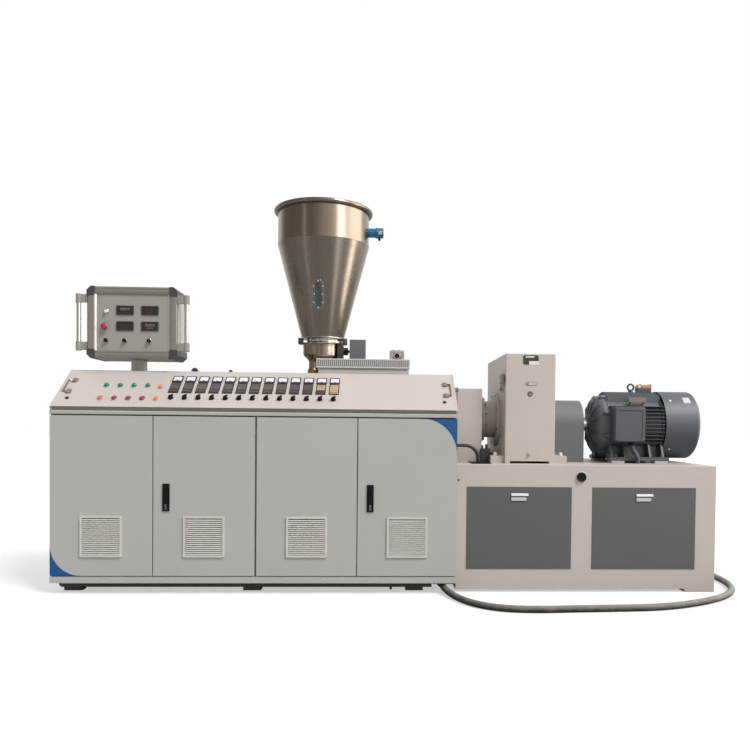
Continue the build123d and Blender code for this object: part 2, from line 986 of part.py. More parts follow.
def barrel_feet():
    feet = []
    for share in barrel_foot_shares:
        x = left + barrel_start + share * barrel_run
        half = barrel_foot_width / 2
        block = slab(
            (x, x + barrel_foot_length),
            (axis_y - half, axis_y + half),
            (bed_top, barrel_height),
        )
        room = rod(
            (x - cut_over, axis_y, barrel_height),
            (x + barrel_foot_length + cut_over, axis_y, barrel_height),
            band_radius,
        )
        feet.append(block - room)
    return apart(feet)


def feed_housing():
    x_span = (left + housing_start, left + housing_start + housing_length)
    y_back = cabinet_back + housing_front_gap + housing_depth
    body = slab(x_span, (cabinet_back + housing_front_gap, y_back), (bed_top, housing_top))
    tray = slab(x_span, (front + tray_front, y_back), (housing_top - tray_thickness, housing_top))
    return body + tray


def slotted_duct():
    x = left + housing_start - duct_overhang
    x_span = (x, x + duct_length)
    y_span = (front + duct_front, front + duct_front + duct_depth)
    bottom = housing_top + duct_foot_height
    body = slab(x_span, y_span, (bottom, bottom + duct_height))
    foot = slab(
        (x_span[0] + duct_foot_inset, x_span[1] - duct_foot_inset),
        (y_span[0] + duct_foot_inset, y_span[1] - duct_foot_inset),
        (housing_top, bottom),
    )
    return body + foot


def vent_fitting():
    x = left + housing_start + fitting_inset
    half = fitting_depth / 2
    bottom = housing_top + fitting_neck_height
    block = slab(
        (x, x + fitting_width),
        (axis_y - half, axis_y + half),
        (bottom, bottom + fitting_height),
    )
    neck = slab(
        (x + fitting_neck_margin, x + fitting_width - fitting_neck_margin),
        (axis_y - half + fitting_neck_margin, axis_y + half - fitting_neck_margin),
        (housing_top, bottom),
    )
    middle = x + fitting_width / 2
    z = bottom + fitting_height / 2
    port = rod(
        (middle, axis_y - half - cut_over, z),
        (middle, axis_y - half + fitting_port_depth, z),
        fitting_port_radius,
    )
    return block + neck - port


# Bed


def pads(x_span, y_span):
    """Floor pads under the corners of a stretch of bed."""
    feet = []
    for x in (x_span[0] + bed_pad_inset, x_span[1] - bed_pad_length):
        for y in (y_span[0] + bed_pad_inset, y_span[1] - bed_pad_depth):
            feet.append(slab((x, x + bed_pad_length), (y, y + bed_pad_depth), (0, bed_underside)))
    return feet


def barrel_bed():
    x_span = (left + barrel_bed_start, cabinet_right)
    y_span = (cabinet_back, front + bed_back)
    body = slab(x_span, y_span, (bed_underside, bed_top))
    return joined([body, *pads(x_span, y_span)])


def drive_bed():
    x_span = (cabinet_right, bed_right)
    y_span = (front + drive_bed_front, front + bed_back)
    body = slab(x_span, y_span, (bed_underside, bed_top))
    skid = slab(
        (cabinet_right - skid_length, cabinet_right),
        (front + skid_front, cabinet_back),
        (bed_underside, cabinet_underside - skid_top_gap),
    )
    front_pad = slab(
        (bed_right - bed_pad_length, bed_right),
        (y_span[0], y_span[0] + bed_pad_depth),
        (0, bed_underside),
    )
    return joined([body, skid, front_pad, *pads(x_span, y_span)])


def panel(x, y, outward):
    """One cover panel with its pull plate, standing out of a face of the bed."""
    z = panel_above_floor
    y_span = sorted((y, y + outward * panel_proud))
    sheet = slab((x, x + panel_width), y_span, (z, z + panel_height))
    plate_x = x + (panel_width - plate_width) / 2
    plate_top = z + panel_height - plate_drop
    face = y + outward * panel_proud
    plate_span = sorted((face, face + outward * plate_proud))
    plate = slab((plate_x, plate_x + plate_width), plate_span, (plate_top - plate_height, plate_top))
    return sheet + plate


def bed_panels():
    step = panel_width + panel_gap
    start = cabinet_right + front_panel_margin
    panels = []
    for number in range(2):
        panels.append(panel(start + number * step, front + drive_bed_front, -1))
    return apart(panels)


def rear_panels():
    step = panel_width + panel_gap
    run = rear_panel_count * step - panel_gap
    start = (left + barrel_bed_start + bed_right - run) / 2
    panels = []
    for number in range(rear_panel_count):
        z = panel_above_floor
        x = start + number * step
        y_span = (front + bed_back, front + bed_back + panel_proud)
        panels.append(slab((x, x + panel_width), y_span, (z, z + panel_height)))
    return apart(panels)


# Drive train


def thrust_housing():
    x = cabinet_right + barrel_past_cabinet
    half = axis_back - thrust_box_front
    box = slab(
        (x, x + thrust_box_length),
        (axis_y - half, axis_y + half),
        (bed_top, thrust_box_top),
    )
    neck = rod(
        (x + thrust_box_length, axis_y, drive_flange_height),
        (left + gearbox_start, axis_y, drive_flange_height),
        drive_neck_radius,
    )
    flange = rod(
        (left + drive_flange_start, axis_y, drive_flange_height),
        (left + drive_flange_start + drive_flange_thickness, axis_y, drive_flange_height),
        drive_flange_radius,
    )
    return box + neck + flange


def gearbox():
    x_span = (left + gearbox_start, left + gearbox_start + gearbox_width)
    y_span = (front + gearbox_front, front + gearbox_front + gearbox_depth)
    body = slab(x_span, y_span, (bed_top, gearbox_top))
    edges = body.edges().filter_by(Axis.Z) + body.edges().group_by(Axis.Z)[-1]
    body = fillet(edges, gearbox_edge)
    foot = slab(
        (x_span[0] - gearbox_foot_reach, x_span[1] + gearbox_foot_reach),
        (y_span[0] + gearbox_foot_front_inset, y_span[1] - gearbox_foot_front_inset),
        (bed_top, bed_top + gearbox_foot_height),
    )
    middle = (x_span[0] + x_span[1]) / 2
    slot = slab(
        (middle - slot_width / 2, middle + slot_width / 2),
        (y_span[0] - cut_over, y_span[1] + cut_over),
        (bed_top - cut_over, bed_top + slot_height),
    )
    return body + foot - slot


def coupling_guard():
    start = left + gearbox_start + gearbox_width + gearbox_foot_reach
    end = left + guard_end
    root = left + gearbox_start + gearbox_width
    low = slab(
        (start, end),
        (axis_y - guard_radius, axis_y + guard_radius),
        (bed_top, bed_top + gearbox_foot_height),
    )
    middle = slab(
        (root, end),
        (axis_y - guard_radius, axis_y + guard_radius),
        (bed_top + gearbox_foot_height, barrel_height),
    )
    arch = rod((root, axis_y, barrel_height), (end, axis_y, barrel_height), guard_radius)
    return low + middle + arch


def drive_shaft():
    start = left + guard_end
    end = start + motor_shaft_gap
    return rod((start, axis_y, barrel_height), (end, axis_y, barrel_height), shaft_radius)


def motor_body():
    profile = [
        (0, -shield_length - hub_length),
        (hub_radius, -shield_length - hub_length),
        (hub_radius, -shield_length),
        (shield_radius, -shield_length / 2),
        (shield_radius, 0),
        (motor_radius, 0),
        (motor_radius, motor_length),
        (0, motor_length),
    ]
    body = turned(profile, (left + motor_start, axis_y, barrel_height), Axis.X)
    for side in (-1, 1):
        y = axis_y + side * motor_foot_spread / 2
        x_span = (left + motor_foot_start, left + motor_foot_start + motor_foot_length)
        rail = slab(
            x_span,
            (y - motor_foot_width / 2, y + motor_foot_width / 2),
            (bed_top, bed_top + motor_foot_height),
        )
        leg_y = sorted((y - side * motor_leg_width, y + side * motor_foot_width / 4))
        leg_inner = motor_foot_spread / 2 - motor_leg_width
        leg_top = barrel_height - math.sqrt(motor_radius**2 - leg_inner**2) + motor_leg_sink
        leg_span = (x_span[0], left + motor_start + motor_length)
        leg = slab(leg_span, leg_y, (bed_top, leg_top))
        body = body + rail + leg
    return body


def motor_cowl():
    start = motor_start + motor_length
    cowl = rod(
        (left + start, axis_y, barrel_height),
        (left + start + cowl_length, axis_y, barrel_height),
        cowl_radius,
    )
    outer = cowl.edges().sort_by(Axis.X)[-1]
    return fillet(outer, cowl_edge)


def terminal_box():
    x = left + terminal_start
    z = barrel_height - terminal_height / 2
    box = slab(
        (x, x + terminal_width),
        (front + terminal_front, front + terminal_front + terminal_depth),
        (z, z + terminal_height),
    )
    box = fillet(box.edges().filter_by(Axis.Y), terminal_edge)
    room = rod(
        (left + motor_start, axis_y, barrel_height),
        (left + motor_start + motor_length, axis_y, barrel_height),
        motor_radius,
    )
    return box - room


def motor_top_box():
    x = left + top_box_start
    bottom = barrel_height + motor_radius * math.cos(math.asin(top_box_width / 2 / motor_radius))
    top = barrel_height + motor_radius + top_box_height
    return slab(
        (x, x + top_box_length),
        (axis_y - top_box_width / 2, axis_y + top_box_width / 2),
        (bottom, top),
    ) - rod(
        (left + motor_start, axis_y, barrel_height),
        (left + motor_start + motor_length, axis_y, barrel_height),
        motor_radius,
    )


def lifting_eye():
    x = left + motor_start + eye_inset
    top = barrel_height + motor_radius
    boss = rod((x, axis_y, top - eye_boss_height), (x, axis_y, top + eye_boss_height / 2), eye_boss_radius)
    boss = boss - rod(
        (left + motor_start, axis_y, barrel_height),
        (left + motor_start + motor_length, axis_y, barrel_height),
        motor_radius,
    )
    centre = top + eye_boss_height / 2 + eye_ring_radius + eye_rod_radius - ring_sink
    ring = Pos(x, axis_y, centre) * Rot(90, 0, 0) * Torus(eye_ring_radius, eye_rod_radius)
    return boss + ring


# Cables


def held_cable(points, radius, bend):
    """A cable of straight runs and arcs along a route that both of its ends hold."""
    route = FilletPolyline(*points, radius=bend)
    start = Plane(origin=route @ 0, z_dir=route % 0)
    return sweep(start * Circle(radius), path=route)


def side_cables():
    x = cabinet_right
    y = front + side_cable_front
    drop_x = x + side_cable_drop_place
    foot = bed_top + cable_plate_thickness
    cables = []
    for number in range(2):
        place = y + number * side_cable_spacing
        points = [(x, place, side_cable_height), (drop_x, place, side_cable_height), (drop_x, place, foot)]
        cables.append(held_cable(points, side_cable_radius, side_cable_bend))
    return apart(cables)


def motor_cable():
    x_top = left + terminal_start + motor_cable_top_inset
    x_foot = x_top + motor_cable_foot_shift
    y_top = front + motor_cable_top_back
    y_foot = front + motor_cable_foot_back
    z_top = barrel_height - terminal_height / 2
    points = [
        (x_top, y_top, z_top),
        (x_top, y_top, z_top - motor_cable_leg),
        (x_foot, y_foot, bed_top + motor_cable_leg),
        (x_foot, y_foot, bed_top),
    ]
    return held_cable(points, motor_cable_radius, motor_cable_bend)


hose_start_y = front + skid_front - gland_length
end_gland_turn = math.radians(end_gland_angle)
hose_end_x = bed_right + gland_length * math.sin(end_gland_turn)
hose_end_y = front + end_gland_back - gland_length * math.cos(end_gland_turn)
hose_lead_x = hose_end_x + end_gland_lead * math.sin(end_gland_turn)
hose_lead_y = hose_end_y - end_gland_lead * math.cos(end_gland_turn)
# The hose's route, chosen by hand: along the floor before the bed and round to its motor end
hose_route = [
    (cabinet_right - start_gland_inset, hose_start_y, gland_height),
    (cabinet_right - start_gland_inset, front + 66, gland_height),
    (left + 2494, front - 62, 28),
    (left + 2552, front - 214, hose_radius),
    (left + 2646, front - 358, hose_radius),
    (left + 2786, front - 446, hose_radius),
    (left + 2980, front - 469, hose_radius),
    (left + 3210, front - 450, hose_radius),
    (left + 3455, front - 437, hose_radius),
    (left + 3700, front - 419, hose_radius),
    (left + 3905, front - 352, hose_radius),
    (left + 4105, front - 246, hose_radius),
    (left + 4275, front - 112, hose_radius),
    (left + 4390, front + 58, hose_radius),
    (left + 4446, front + 240, hose_radius),
    (left + 4458, front + 405, hose_radius),
    (left + 4438, front + 538, 29),
    (hose_lead_x, hose_lead_y, gland_height),
    (hose_end_x, hose_end_y, gland_height),
]


def arc_radii(route):
    """The radius at each corner of a route: as large as the shorter of its two runs allows."""
    radii = []
    for before, corner, after in zip(route, route[1:], route[2:]):
        first = Vector(*corner) - Vector(*before)
        second = Vector(*after) - Vector(*corner)
        half_turn = math.radians(first.get_angle(second)) / 2
        radii.append(run_share * min(first.length, second.length) / math.tan(half_turn))
    return radii


def floor_hose():
    radii = arc_radii(hose_route)
    path = FilletPolyline(*hose_route, radius=radii)
    start = Plane(origin=path @ 0, z_dir=path % 0)
    hose = sweep(start * Circle(hose_radius), path=path)
    section = math.pi * hose_radius**2
    print("hose length", round(path.length), "volume share", round(hose.volume / section / path.length, 5))
    print("hose radii", [round(radius) for radius in radii])
    return hose


def cable_glands():
    start_x = cabinet_right - start_gland_inset
    first = rod(
        (start_x, front + skid_front, gland_height),
        (start_x, hose_start_y, gland_height),
        gland_radius,
    )
    inside_x = bed_right - gland_length * math.sin(end_gland_turn)
    inside_y = front + end_gland_back + gland_length * math.cos(end_gland_turn)
    last = rod((inside_x, inside_y, gland_height), (hose_end_x, hose_end_y, gland_height), gland_radius)
    last = last - drive_bed()
    plug_x = cabinet_right + plug_place
    face = front + drive_bed_front
    plug = rod((plug_x, face, plug_above_floor), (plug_x, face - plug_proud, plug_above_floor), plug_radius)
    plate_x = cabinet_right + cable_plate_start
    plate_y = front + cable_plate_front
    plate = slab(
        (plate_x, plate_x + cable_plate_width),
        (plate_y, plate_y + cable_plate_depth),
        (bed_top, bed_top + cable_plate_thickness),
    )
    return apart([first, last, plug, plate])


nodes = {
    "cabinet_sides": cabinet_sides,
    "cabinet_top_and_floor": cabinet_top_and_floor,
    "cabinet_back": cabinet_back_sheet,
    "cabinet_rails": cabinet_rails,
    "underframe": underframe,
    "cabinet_feet": cabinet_feet,
    "door_1": lambda: door(0),
    "door_2": lambda: door(1),
    "door_3": lambda: door(2),
    "door_4": lambda: door(3),
    "door_2_latch": lambda: door_latch(1),
    "door_4_latch": lambda: door_latch(3),
    "console_desk": console_desk,
    "meters": lambda: slope_blocks(meter_size, meter_size, meter_thickness, meter_up),
    "controllers": lambda: slope_blocks(
        controller_width, controller_length, controller_thickness, controller_up
    ),
    "selector_knobs": selector_knobs,
    "push_buttons": push_buttons,
    "bow_handles": bow_handles,
    "desk_fittings": desk_fittings,
    "control_post": control_post,
    "control_box": control_box,
    "control_box_frame": control_box_frame,
    "control_box_handles": control_box_handles,
    "control_box_fittings": control_box_fittings,
    "hopper_cylinder": hopper_cylinder,
    "hopper_cone": hopper_cone,
    "sight_glass": sight_glass,
    "level_sensor": level_sensor,
    "hopper_clamp": hopper_clamp,
    "feeder_cup": feeder_cup,
    "feed_chute": feed_chute,
    "feeder_drive": feeder_drive,
    "feeder_motor": feeder_motor,
    "barrel": barrel,
    "barrel_feet": barrel_feet,
    "feed_housing": feed_housing,
    "slotted_duct": slotted_duct,
    "vent_fitting": vent_fitting,
    "barrel_bed": barrel_bed,
    "drive_bed": drive_bed,
    "bed_panels": bed_panels,
    "rear_panels": rear_panels,
    "thrust_housing": thrust_housing,
    "gearbox": gearbox,
    "coupling_guard": coupling_guard,
    "drive_shaft": drive_shaft,
    "motor_body": motor_body,
    "motor_cowl": motor_cowl,
    "terminal_box": terminal_box,
    "motor_top_box": motor_top_box,
    "lifting_eye": lifting_eye,
    "side_cables": side_cables,
    "motor_cable": motor_cable,
    "floor_hose": floor_hose,
    "cable_glands": cable_glands,
}

os.makedirs("parts", exist_ok=True)
for name, make in nodes.items():
    export_step(make(), f"parts/{name}.step")
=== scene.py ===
# %% [markdown]
# # A plastic extruder
# The machine is a long switch cabinet with a sloped desk. Behind it a bed carries the barrel, the
# hopper, a gearbox and a motor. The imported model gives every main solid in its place, in metres.
# This lesson dresses those solids: paint, steel and plastic, and the small pieces that a maker
# screws on, such as louvres, meters, knobs, fins and bolts.

# %% Loading the frame
import math

import bmesh
import bpy
from mathutils import Matrix, Vector


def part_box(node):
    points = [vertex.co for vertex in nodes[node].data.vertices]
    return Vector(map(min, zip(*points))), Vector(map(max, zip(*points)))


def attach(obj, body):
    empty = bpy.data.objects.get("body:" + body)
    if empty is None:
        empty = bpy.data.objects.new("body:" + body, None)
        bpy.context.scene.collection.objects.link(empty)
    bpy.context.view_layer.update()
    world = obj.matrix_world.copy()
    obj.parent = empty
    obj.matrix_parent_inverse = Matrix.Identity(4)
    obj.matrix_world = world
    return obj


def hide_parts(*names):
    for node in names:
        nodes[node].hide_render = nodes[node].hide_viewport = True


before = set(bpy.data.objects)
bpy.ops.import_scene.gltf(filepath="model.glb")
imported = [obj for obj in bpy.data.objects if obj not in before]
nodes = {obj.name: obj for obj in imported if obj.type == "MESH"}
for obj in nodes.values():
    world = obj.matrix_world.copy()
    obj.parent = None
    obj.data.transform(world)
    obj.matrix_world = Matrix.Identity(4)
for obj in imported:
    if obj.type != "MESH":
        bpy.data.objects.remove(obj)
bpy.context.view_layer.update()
scene = bpy.context.scene
print("solids loaded:", len(nodes))

# %% [markdown]
# ## The camera
# The photograph was taken from about five metres away, at chest height, a little to the left of the
# machine's middle. Its focal length and place come from the cabinet's straight edges. The picture
# was cropped off centre, so the camera has a small shift instead of a turn.

# %% Camera
camera_place = Vector((-0.119, -5.133, 1.079))
camera_yaw = math.radians(2.58)
camera_drop = math.radians(1.24)
camera_roll = math.radians(0.59)
picture_width = 750
focal_pixels = 719.6
centre_right = 408.6
centre_down = 440.8
sensor_width = 36.0


def camera_turn():
    """The camera's axes as a rotation: it looks along its own -Z."""
    ahead = Vector((
        math.sin(camera_yaw) * math.cos(camera_drop),
        math.cos(camera_yaw) * math.cos(camera_drop),
        -math.sin(camera_drop),
    ))
    level = Vector((math.cos(camera_yaw), -math.sin(camera_yaw), 0))
    upright = level.cross(ahead)
    right = math.cos(camera_roll) * level + math.sin(camera_roll) * upright
    top = math.cos(camera_roll) * upright - math.sin(camera_roll) * level
    return Matrix((right, top, -ahead)).transposed().to_4x4()


lens = bpy.data.cameras.new("camera")
lens.sensor_width = sensor_width
lens.lens = focal_pixels / picture_width * sensor_width
lens.shift_x = 0.5 - centre_right / picture_width
lens.shift_y = centre_down / picture_width - 0.5
lens.clip_end = 200
camera = bpy.data.objects.new("camera", lens)
camera.matrix_world = Matrix.Translation(camera_place) @ camera_turn()
scene.collection.objects.link(camera)
scene.camera = camera
print("lens", round(lens.lens, 2), "mm, shift", round(lens.shift_x, 4), round(lens.shift_y, 4))

# %% [markdown]
# ## Arithmetic on sockets
# A finish is easier to read as a sum than as a web of nodes. A `Wire` holds a socket, and the
# operators on it add Math nodes, so `1 - mask` and `0.3 + grain * 0.1` both work. Every other node
# comes from `Board.node`, which sets its settings first and then its sockets.

# %% The socket wrapper
def operator(operation, swapped=False):
    """A method that adds a Math node for one of Python's operators."""
    def method(self, other):
        return self.maths(operation, other, self) if swapped else self.maths(operation, self, other)

    return method


class Wire:
    """A socket of a node tree whose value flows on. Operators on it add Math nodes."""

    def __init__(self, board, socket):
        self.board = board
        self.socket = socket

    def maths(self, operation, first, second=0.0, clamp=False):
        settings = {"operation": operation, "use_clamp": clamp}
        return self.board.node("Math", settings, {0: first, 1: second})

    def clamped(self):
        return self.maths("ADD", self, 0.0, clamp=True)

    def at_least(self, least):
        return self.maths("MAXIMUM", self, least)

    __add__, __radd__ = operator("ADD"), operator("ADD", swapped=True)
    __sub__, __rsub__ = operator("SUBTRACT"), operator("SUBTRACT", swapped=True)
    __mul__, __rmul__ = operator("MULTIPLY"), operator("MULTIPLY", swapped=True)
    __truediv__, __gt__ = operator("DIVIDE"), operator("GREATER_THAN")


class Board:
    """A node tree with one way of adding nodes to it."""

    def __init__(self, tree):
        self.tree = tree

    def node(self, kind, settings=None, sockets=None, out=0):
        made = self.tree.nodes.new("ShaderNode" + kind)
        for name, value in (settings or {}).items():
            setattr(made, name, value)
        for name, value in (sockets or {}).items():
            self.plug(self.find(made.inputs, name), value)
        return Wire(self, self.find(made.outputs, out))

    @staticmethod
    def find(sockets, name):
        if isinstance(name, int):
            return [s for s in sockets if s.enabled][name]
        return next(s for s in sockets if s.enabled and s.name == name)

    def plug(self, socket, value):
        if isinstance(value, Wire):
            self.tree.links.new(value.socket, socket)
        elif socket.type == "RGBA" and len(value) == 3:
            socket.default_value = (*value, 1.0)
        else:
            socket.default_value = value

    def mix(self, share, first, second):
        """A colour between two colours."""
        return self.node("Mix", {"data_type": "RGBA"}, {"Factor": share, "A": first, "B": second})

    def noise(self, size, detail=2.0, rough=0.5):
        """Cloudy noise from 0 to 1 whose blobs are about `size` metres across."""
        sockets = {"Vector": self.place(), "Scale": 1 / size, "Detail": detail, "Roughness": rough}
        return self.node("TexNoise", None, sockets)

    def place(self):
        """The point on the surface, in the machine's own frame."""
        return self.node("TexCoord", None, None, "Object")

    def ray(self, kind):
        """1 where the ray is of this kind and 0 elsewhere."""
        return self.node("LightPath", None, None, f"Is {kind} Ray")

    def axes(self, where=None):
        """The x, y and z of a point as three wires."""
        apart = self.tree.nodes.new("ShaderNodeSeparateXYZ")
        self.plug(apart.inputs[0], where or self.place())
        return [Wire(self, socket) for socket in apart.outputs]


def linear(red, green, blue):
    """A colour written in screen values from 0 to 255, as the light values that shaders use."""
    out = []
    for value in (red, green, blue):
        share = value / 255
        out.append(share / 12.92 if share <= 0.04045 else ((share + 0.055) / 1.055) ** 2.4)
    return tuple(out)


print("a mid grey is", [round(v, 3) for v in linear(128, 128, 128)])

# %% [markdown]
# ## Floor, backdrop and light
# The picture has a white ground. The world is white to the camera only. To rays that a surface
# scatters it is a plain grey that grows lighter upwards and to the right, as in a workshop with
# roof lights. Rays that a surface mirrors see a warm hall, which is darker to the left. The floor
# keeps a soft shadow. Tall lamps stand to the right of the camera and a thin one to its left,
# because a steel hopper only looks like steel when it has upright bars of light to reflect.

# %% World and floor
WHITE = (1.0, 1.0, 1.0)
floor_half = 60.0
floor_bounce = 0.50
floor_mirrored = 0.30
floor_seen = 0.88
floor_glow_share = 0.5
sky_middle = 0.49
sky_to_right = 0.20
sky_to_top = 0.42
sky_least = 0.10
hall_middle = 0.66
hall_to_right = 0.95
hall_least = 0.28
hall_colour = (1.0, 0.90, 0.79)
ground_starts, ground_blend = 0.35, 0.30

world = bpy.data.worlds.new("workshop")
world.use_nodes = True
scene.world = world
sky = Board(world.node_tree)
sky_x, sky_y, sky_z = sky.axes(sky.node("TexCoord", None, None, "Generated"))
sky_light = (sky_middle + sky_x * sky_to_right + sky_z * sky_to_top).at_least(sky_least)
seen = sky.ray("Camera") + sky.ray("Transmission")
glossy = sky.ray("Glossy")
behind = ((sky_y - ground_starts) / ground_blend).clamped()
hall = (hall_middle + sky_x * hall_to_right).at_least(hall_least)
mirrored = hall * (1 - behind) + behind
strength = sky_light * (1 - seen) * (1 - glossy) + mirrored * glossy * (1 - seen) + seen
backdrop = world.node_tree.nodes["Background"]
sky.plug(backdrop.inputs["Color"], sky.mix(glossy * (1 - behind), WHITE, hall_colour))
sky.plug(backdrop.inputs["Strength"], strength)

floor_mesh = bpy.data.meshes.new("floor")
corners = [(a * floor_half, b * floor_half, 0) for a, b in ((-1, -1), (1, -1), (1, 1), (-1, 1))]
floor_mesh.from_pydata(corners, [], [(0, 1, 2, 3)])
floor = bpy.data.objects.new("floor", floor_mesh)
scene.collection.objects.link(floor)

ground = bpy.data.materials.new("pale_floor")
ground.use_nodes = True
floor_mesh.materials.append(ground)
board = Board(ground.node_tree)
ground_shader = ground.node_tree.nodes["Principled BSDF"]
ground_seen = board.ray("Camera")
tone = board.mix(board.ray("Glossy"), (floor_bounce,) * 3, (floor_mirrored,) * 3)
tone = board.mix(ground_seen, tone, (floor_seen,) * 3)
board.plug(ground_shader.inputs["Base Color"], tone)
ground_shader.inputs["Roughness"].default_value = 0.9
ground_shader.inputs["Specular IOR Level"].default_value = 0.1
glow = board.node("Emission", None, {"Color": WHITE, "Strength": 1.0})
share = ground_seen * floor_glow_share
blend = board.node("MixShader", None, {0: share, 1: Wire(board, ground_shader.outputs[0]), 2: glow})
board.plug(ground.node_tree.nodes["Material Output"].inputs["Surface"], blend)

scene.view_settings.view_transform = "Standard"
print("world and floor made")

# %% Lamps
hopper_low, hopper_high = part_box("hopper_cone")
hopper_middle = (hopper_low + hopper_high) / 2
bar_distance = 5.0
low_bars, high_bars = (0.1, 2.3), (2.3, 5.3)
roof_direction = Vector((0.5, -0.42, 0.78))


def add_lamp(name, kind, place, away, power, colour=WHITE):
    """A lamp at a place that shines against a direction."""
    data = bpy.data.lights.new(name, kind)
    data.energy = power
    data.color = colour
    made = bpy.data.objects.new(name, data)
    made.location = place
    made.rotation_euler = away.to_track_quat("Z", "Y").to_euler()
    scene.collection.objects.link(made)
    return made


def bar_lamp(name, bearing, width, low, high, power, colour=WHITE):
    """An upright bar of light at a bearing from the hopper, counted from the front to the right."""
    turn = math.radians(bearing)
    away = Vector((math.sin(turn), -math.cos(turn), 0))
    place = hopper_middle + away * bar_distance
    place.z = (low + high) / 2
    made = add_lamp(name, "AREA", place, away, power, colour)
    made.data.shape = "RECTANGLE"
    made.data.size = width
    made.data.size_y = high - low
    made.visible_diffuse = False
    made.visible_camera = False
    return made


roof_light = add_lamp("roof_light", "SUN", (0, 0, 0), roof_direction, 2.6)
roof_light.data.angle = math.radians(18)
bars = [
    bar_lamp("bar_upper_streak", 46, 1.5, *high_bars, 65),
    bar_lamp("bar_upper_soft", 62, 1.5, *high_bars, 20),
    bar_lamp("bar_upper_right", 91, 3.7, *high_bars, 84, (1.0, 0.93, 0.85)),
    bar_lamp("bar_lower_soft", 43, 1.0, *low_bars, 10),
    bar_lamp("bar_lower_right", 84, 1.2, *low_bars, 42, (1.0, 0.88, 0.79)),
    bar_lamp("bar_left_thin", -43, 0.25, low_bars[0], high_bars[1], 6),
]
print("lamps made:", 1 + len(bars))

# %% [markdown]
# ## Mesh helpers
# Every small piece is drawn in the machine's own frame, so a place read from a solid's box can be
# used as it is. A piece is collected in one bmesh, gets its edges rounded by a Bevel modifier, and
# rides on a body.

# %% Helpers for meshes
MM = 0.001


def add_block(bm, low, high):
    """A box between two corners."""
    size = Vector(high) - Vector(low)
    middle = (Vector(high) + Vector(low)) / 2
    place = Matrix.Translation(middle) @ Matrix.Diagonal((*size, 1))
    bmesh.ops.create_cube(bm, size=1, matrix=place)


def add_rod(bm, start, end, radius, steps=32, end_radius=None):
    """A round bar or cone from one point to another."""
    start, end = Vector(start), Vector(end)
    along = end - start
    turn = along.to_track_quat("Z", "Y").to_matrix().to_4x4()
    place = Matrix.Translation((start + end) / 2) @ turn
    radii = {"radius1": radius, "radius2": radius if end_radius is None else end_radius}
    bmesh.ops.create_cone(
        bm, cap_ends=True, segments=steps, depth=along.length, matrix=place, **radii
    )


def turns(count, start=0.0):
    """Angles that divide a full turn; the first one lies this part of a step on."""
    return [math.tau * (number + start) / count for number in range(count)]


def add_turned(bm, profile, place, steps=64):
    """A turned form from (radius, height) pairs about the local Z axis, open where they end."""
    rings = []
    for turn in turns(steps):
        ring = []
        for radius, height in profile:
            point = place @ Vector((radius * math.cos(turn), radius * math.sin(turn), height))
            ring.append(bm.verts.new(point))
        rings.append(ring)
    for first, second in zip(rings, rings[1:] + rings[:1]):
        for row in range(len(profile) - 1):
            bm.faces.new([first[row], second[row], second[row + 1], first[row + 1]])


def add_between(bm, first, last):
    """A closed form between two outlines of points: both ends and the sides between them."""
    first, last = ([bm.verts.new(point) for point in row] for row in (first, last))
    bm.faces.new(list(reversed(first)))
    bm.faces.new(last)
    for number in range(len(first)):
        after = (number + 1) % len(first)
        bm.faces.new([first[number], first[after], last[after], last[number]])


def add_prism(bm, outline, start, end, plane):
    """An outline of (a, b) pairs drawn in a plane of two axes and pushed along the third."""
    first, second = ("xyz".index(letter) for letter in plane)
    ends = []
    for depth in (start, end):
        ring = []
        for a, b in outline:
            point = [depth] * 3
            point[first], point[second] = a, b
            ring.append(point)
        ends.append(ring)
    add_between(bm, *ends)


def round_off(made, width, steps=2, angle=35):
    """Rounds the sharp edges of an object and shades the rest smooth."""
    for polygon in made.data.polygons:
        polygon.use_smooth = True
    if width:
        edge = made.modifiers.new("edge", "BEVEL")
        edge.width = width
        edge.segments = steps
        edge.limit_method = "ANGLE"
        edge.angle_limit = math.radians(angle)
        edge.use_clamp_overlap = True
    evening = made.modifiers.new("evening", "WEIGHTED_NORMAL")
    evening.keep_sharp = True
    evening.weight = 60


def piece(name, bm, finish, edge=0.0, stands_for=(), steps=2, angle=35, body="root"):
    """Turns a bmesh into a piece of the machine that rides on a body."""
    bmesh.ops.recalc_face_normals(bm, faces=bm.faces)
    mesh = bpy.data.meshes.new(name)
    bm.to_mesh(mesh)
    bm.free()
    made = bpy.data.objects.new(name, mesh)
    scene.collection.objects.link(made)
    mesh.materials.append(finish)
    round_off(made, edge, steps, angle)
    if not edge:
        mesh.set_sharp_from_angle(angle=math.radians(angle))
    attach(made, body)
    if stands_for:
        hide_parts(*stands_for)
    return made


def carry(name, finish, edge=0.0015, angle=35):
    """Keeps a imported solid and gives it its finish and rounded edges."""
    made = nodes[name]
    mesh = made.data
    mesh.materials.clear()
    mesh.materials.append(finish)
    if "custom_normal" in mesh.attributes:
        mesh.attributes.remove(mesh.attributes["custom_normal"])
    weld = made.modifiers.new("weld", "WELD")
    weld.merge_threshold = 0.00002
    round_off(made, edge, 2, angle)
    return made


print("mesh helpers ready")

# %% [markdown]
# ## Painted sheet steel
# Powder paint on sheet steel isn't one flat colour. It has a fine orange peel that only shows in
# reflections, a slow drift of tone from sheet to sheet, a little dust that gathers low down, and
# rubbed spots. All of it is noise in the machine's own coordinates, so it needs no unwrapping and
# stays put when a door opens. The first and the last door have one blue corner, whose edge is a
# quarter of an ellipse. `film_back` is how far back the blue reaches, which keeps it on the face.

# %% Painted finishes
peel_size = 0.0022
drift_size = 0.55
rub_size = 0.03
dust_height = 0.22
corner_blue = linear(0, 77, 132)
film_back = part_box("cabinet_rails")[0].y + 0.004


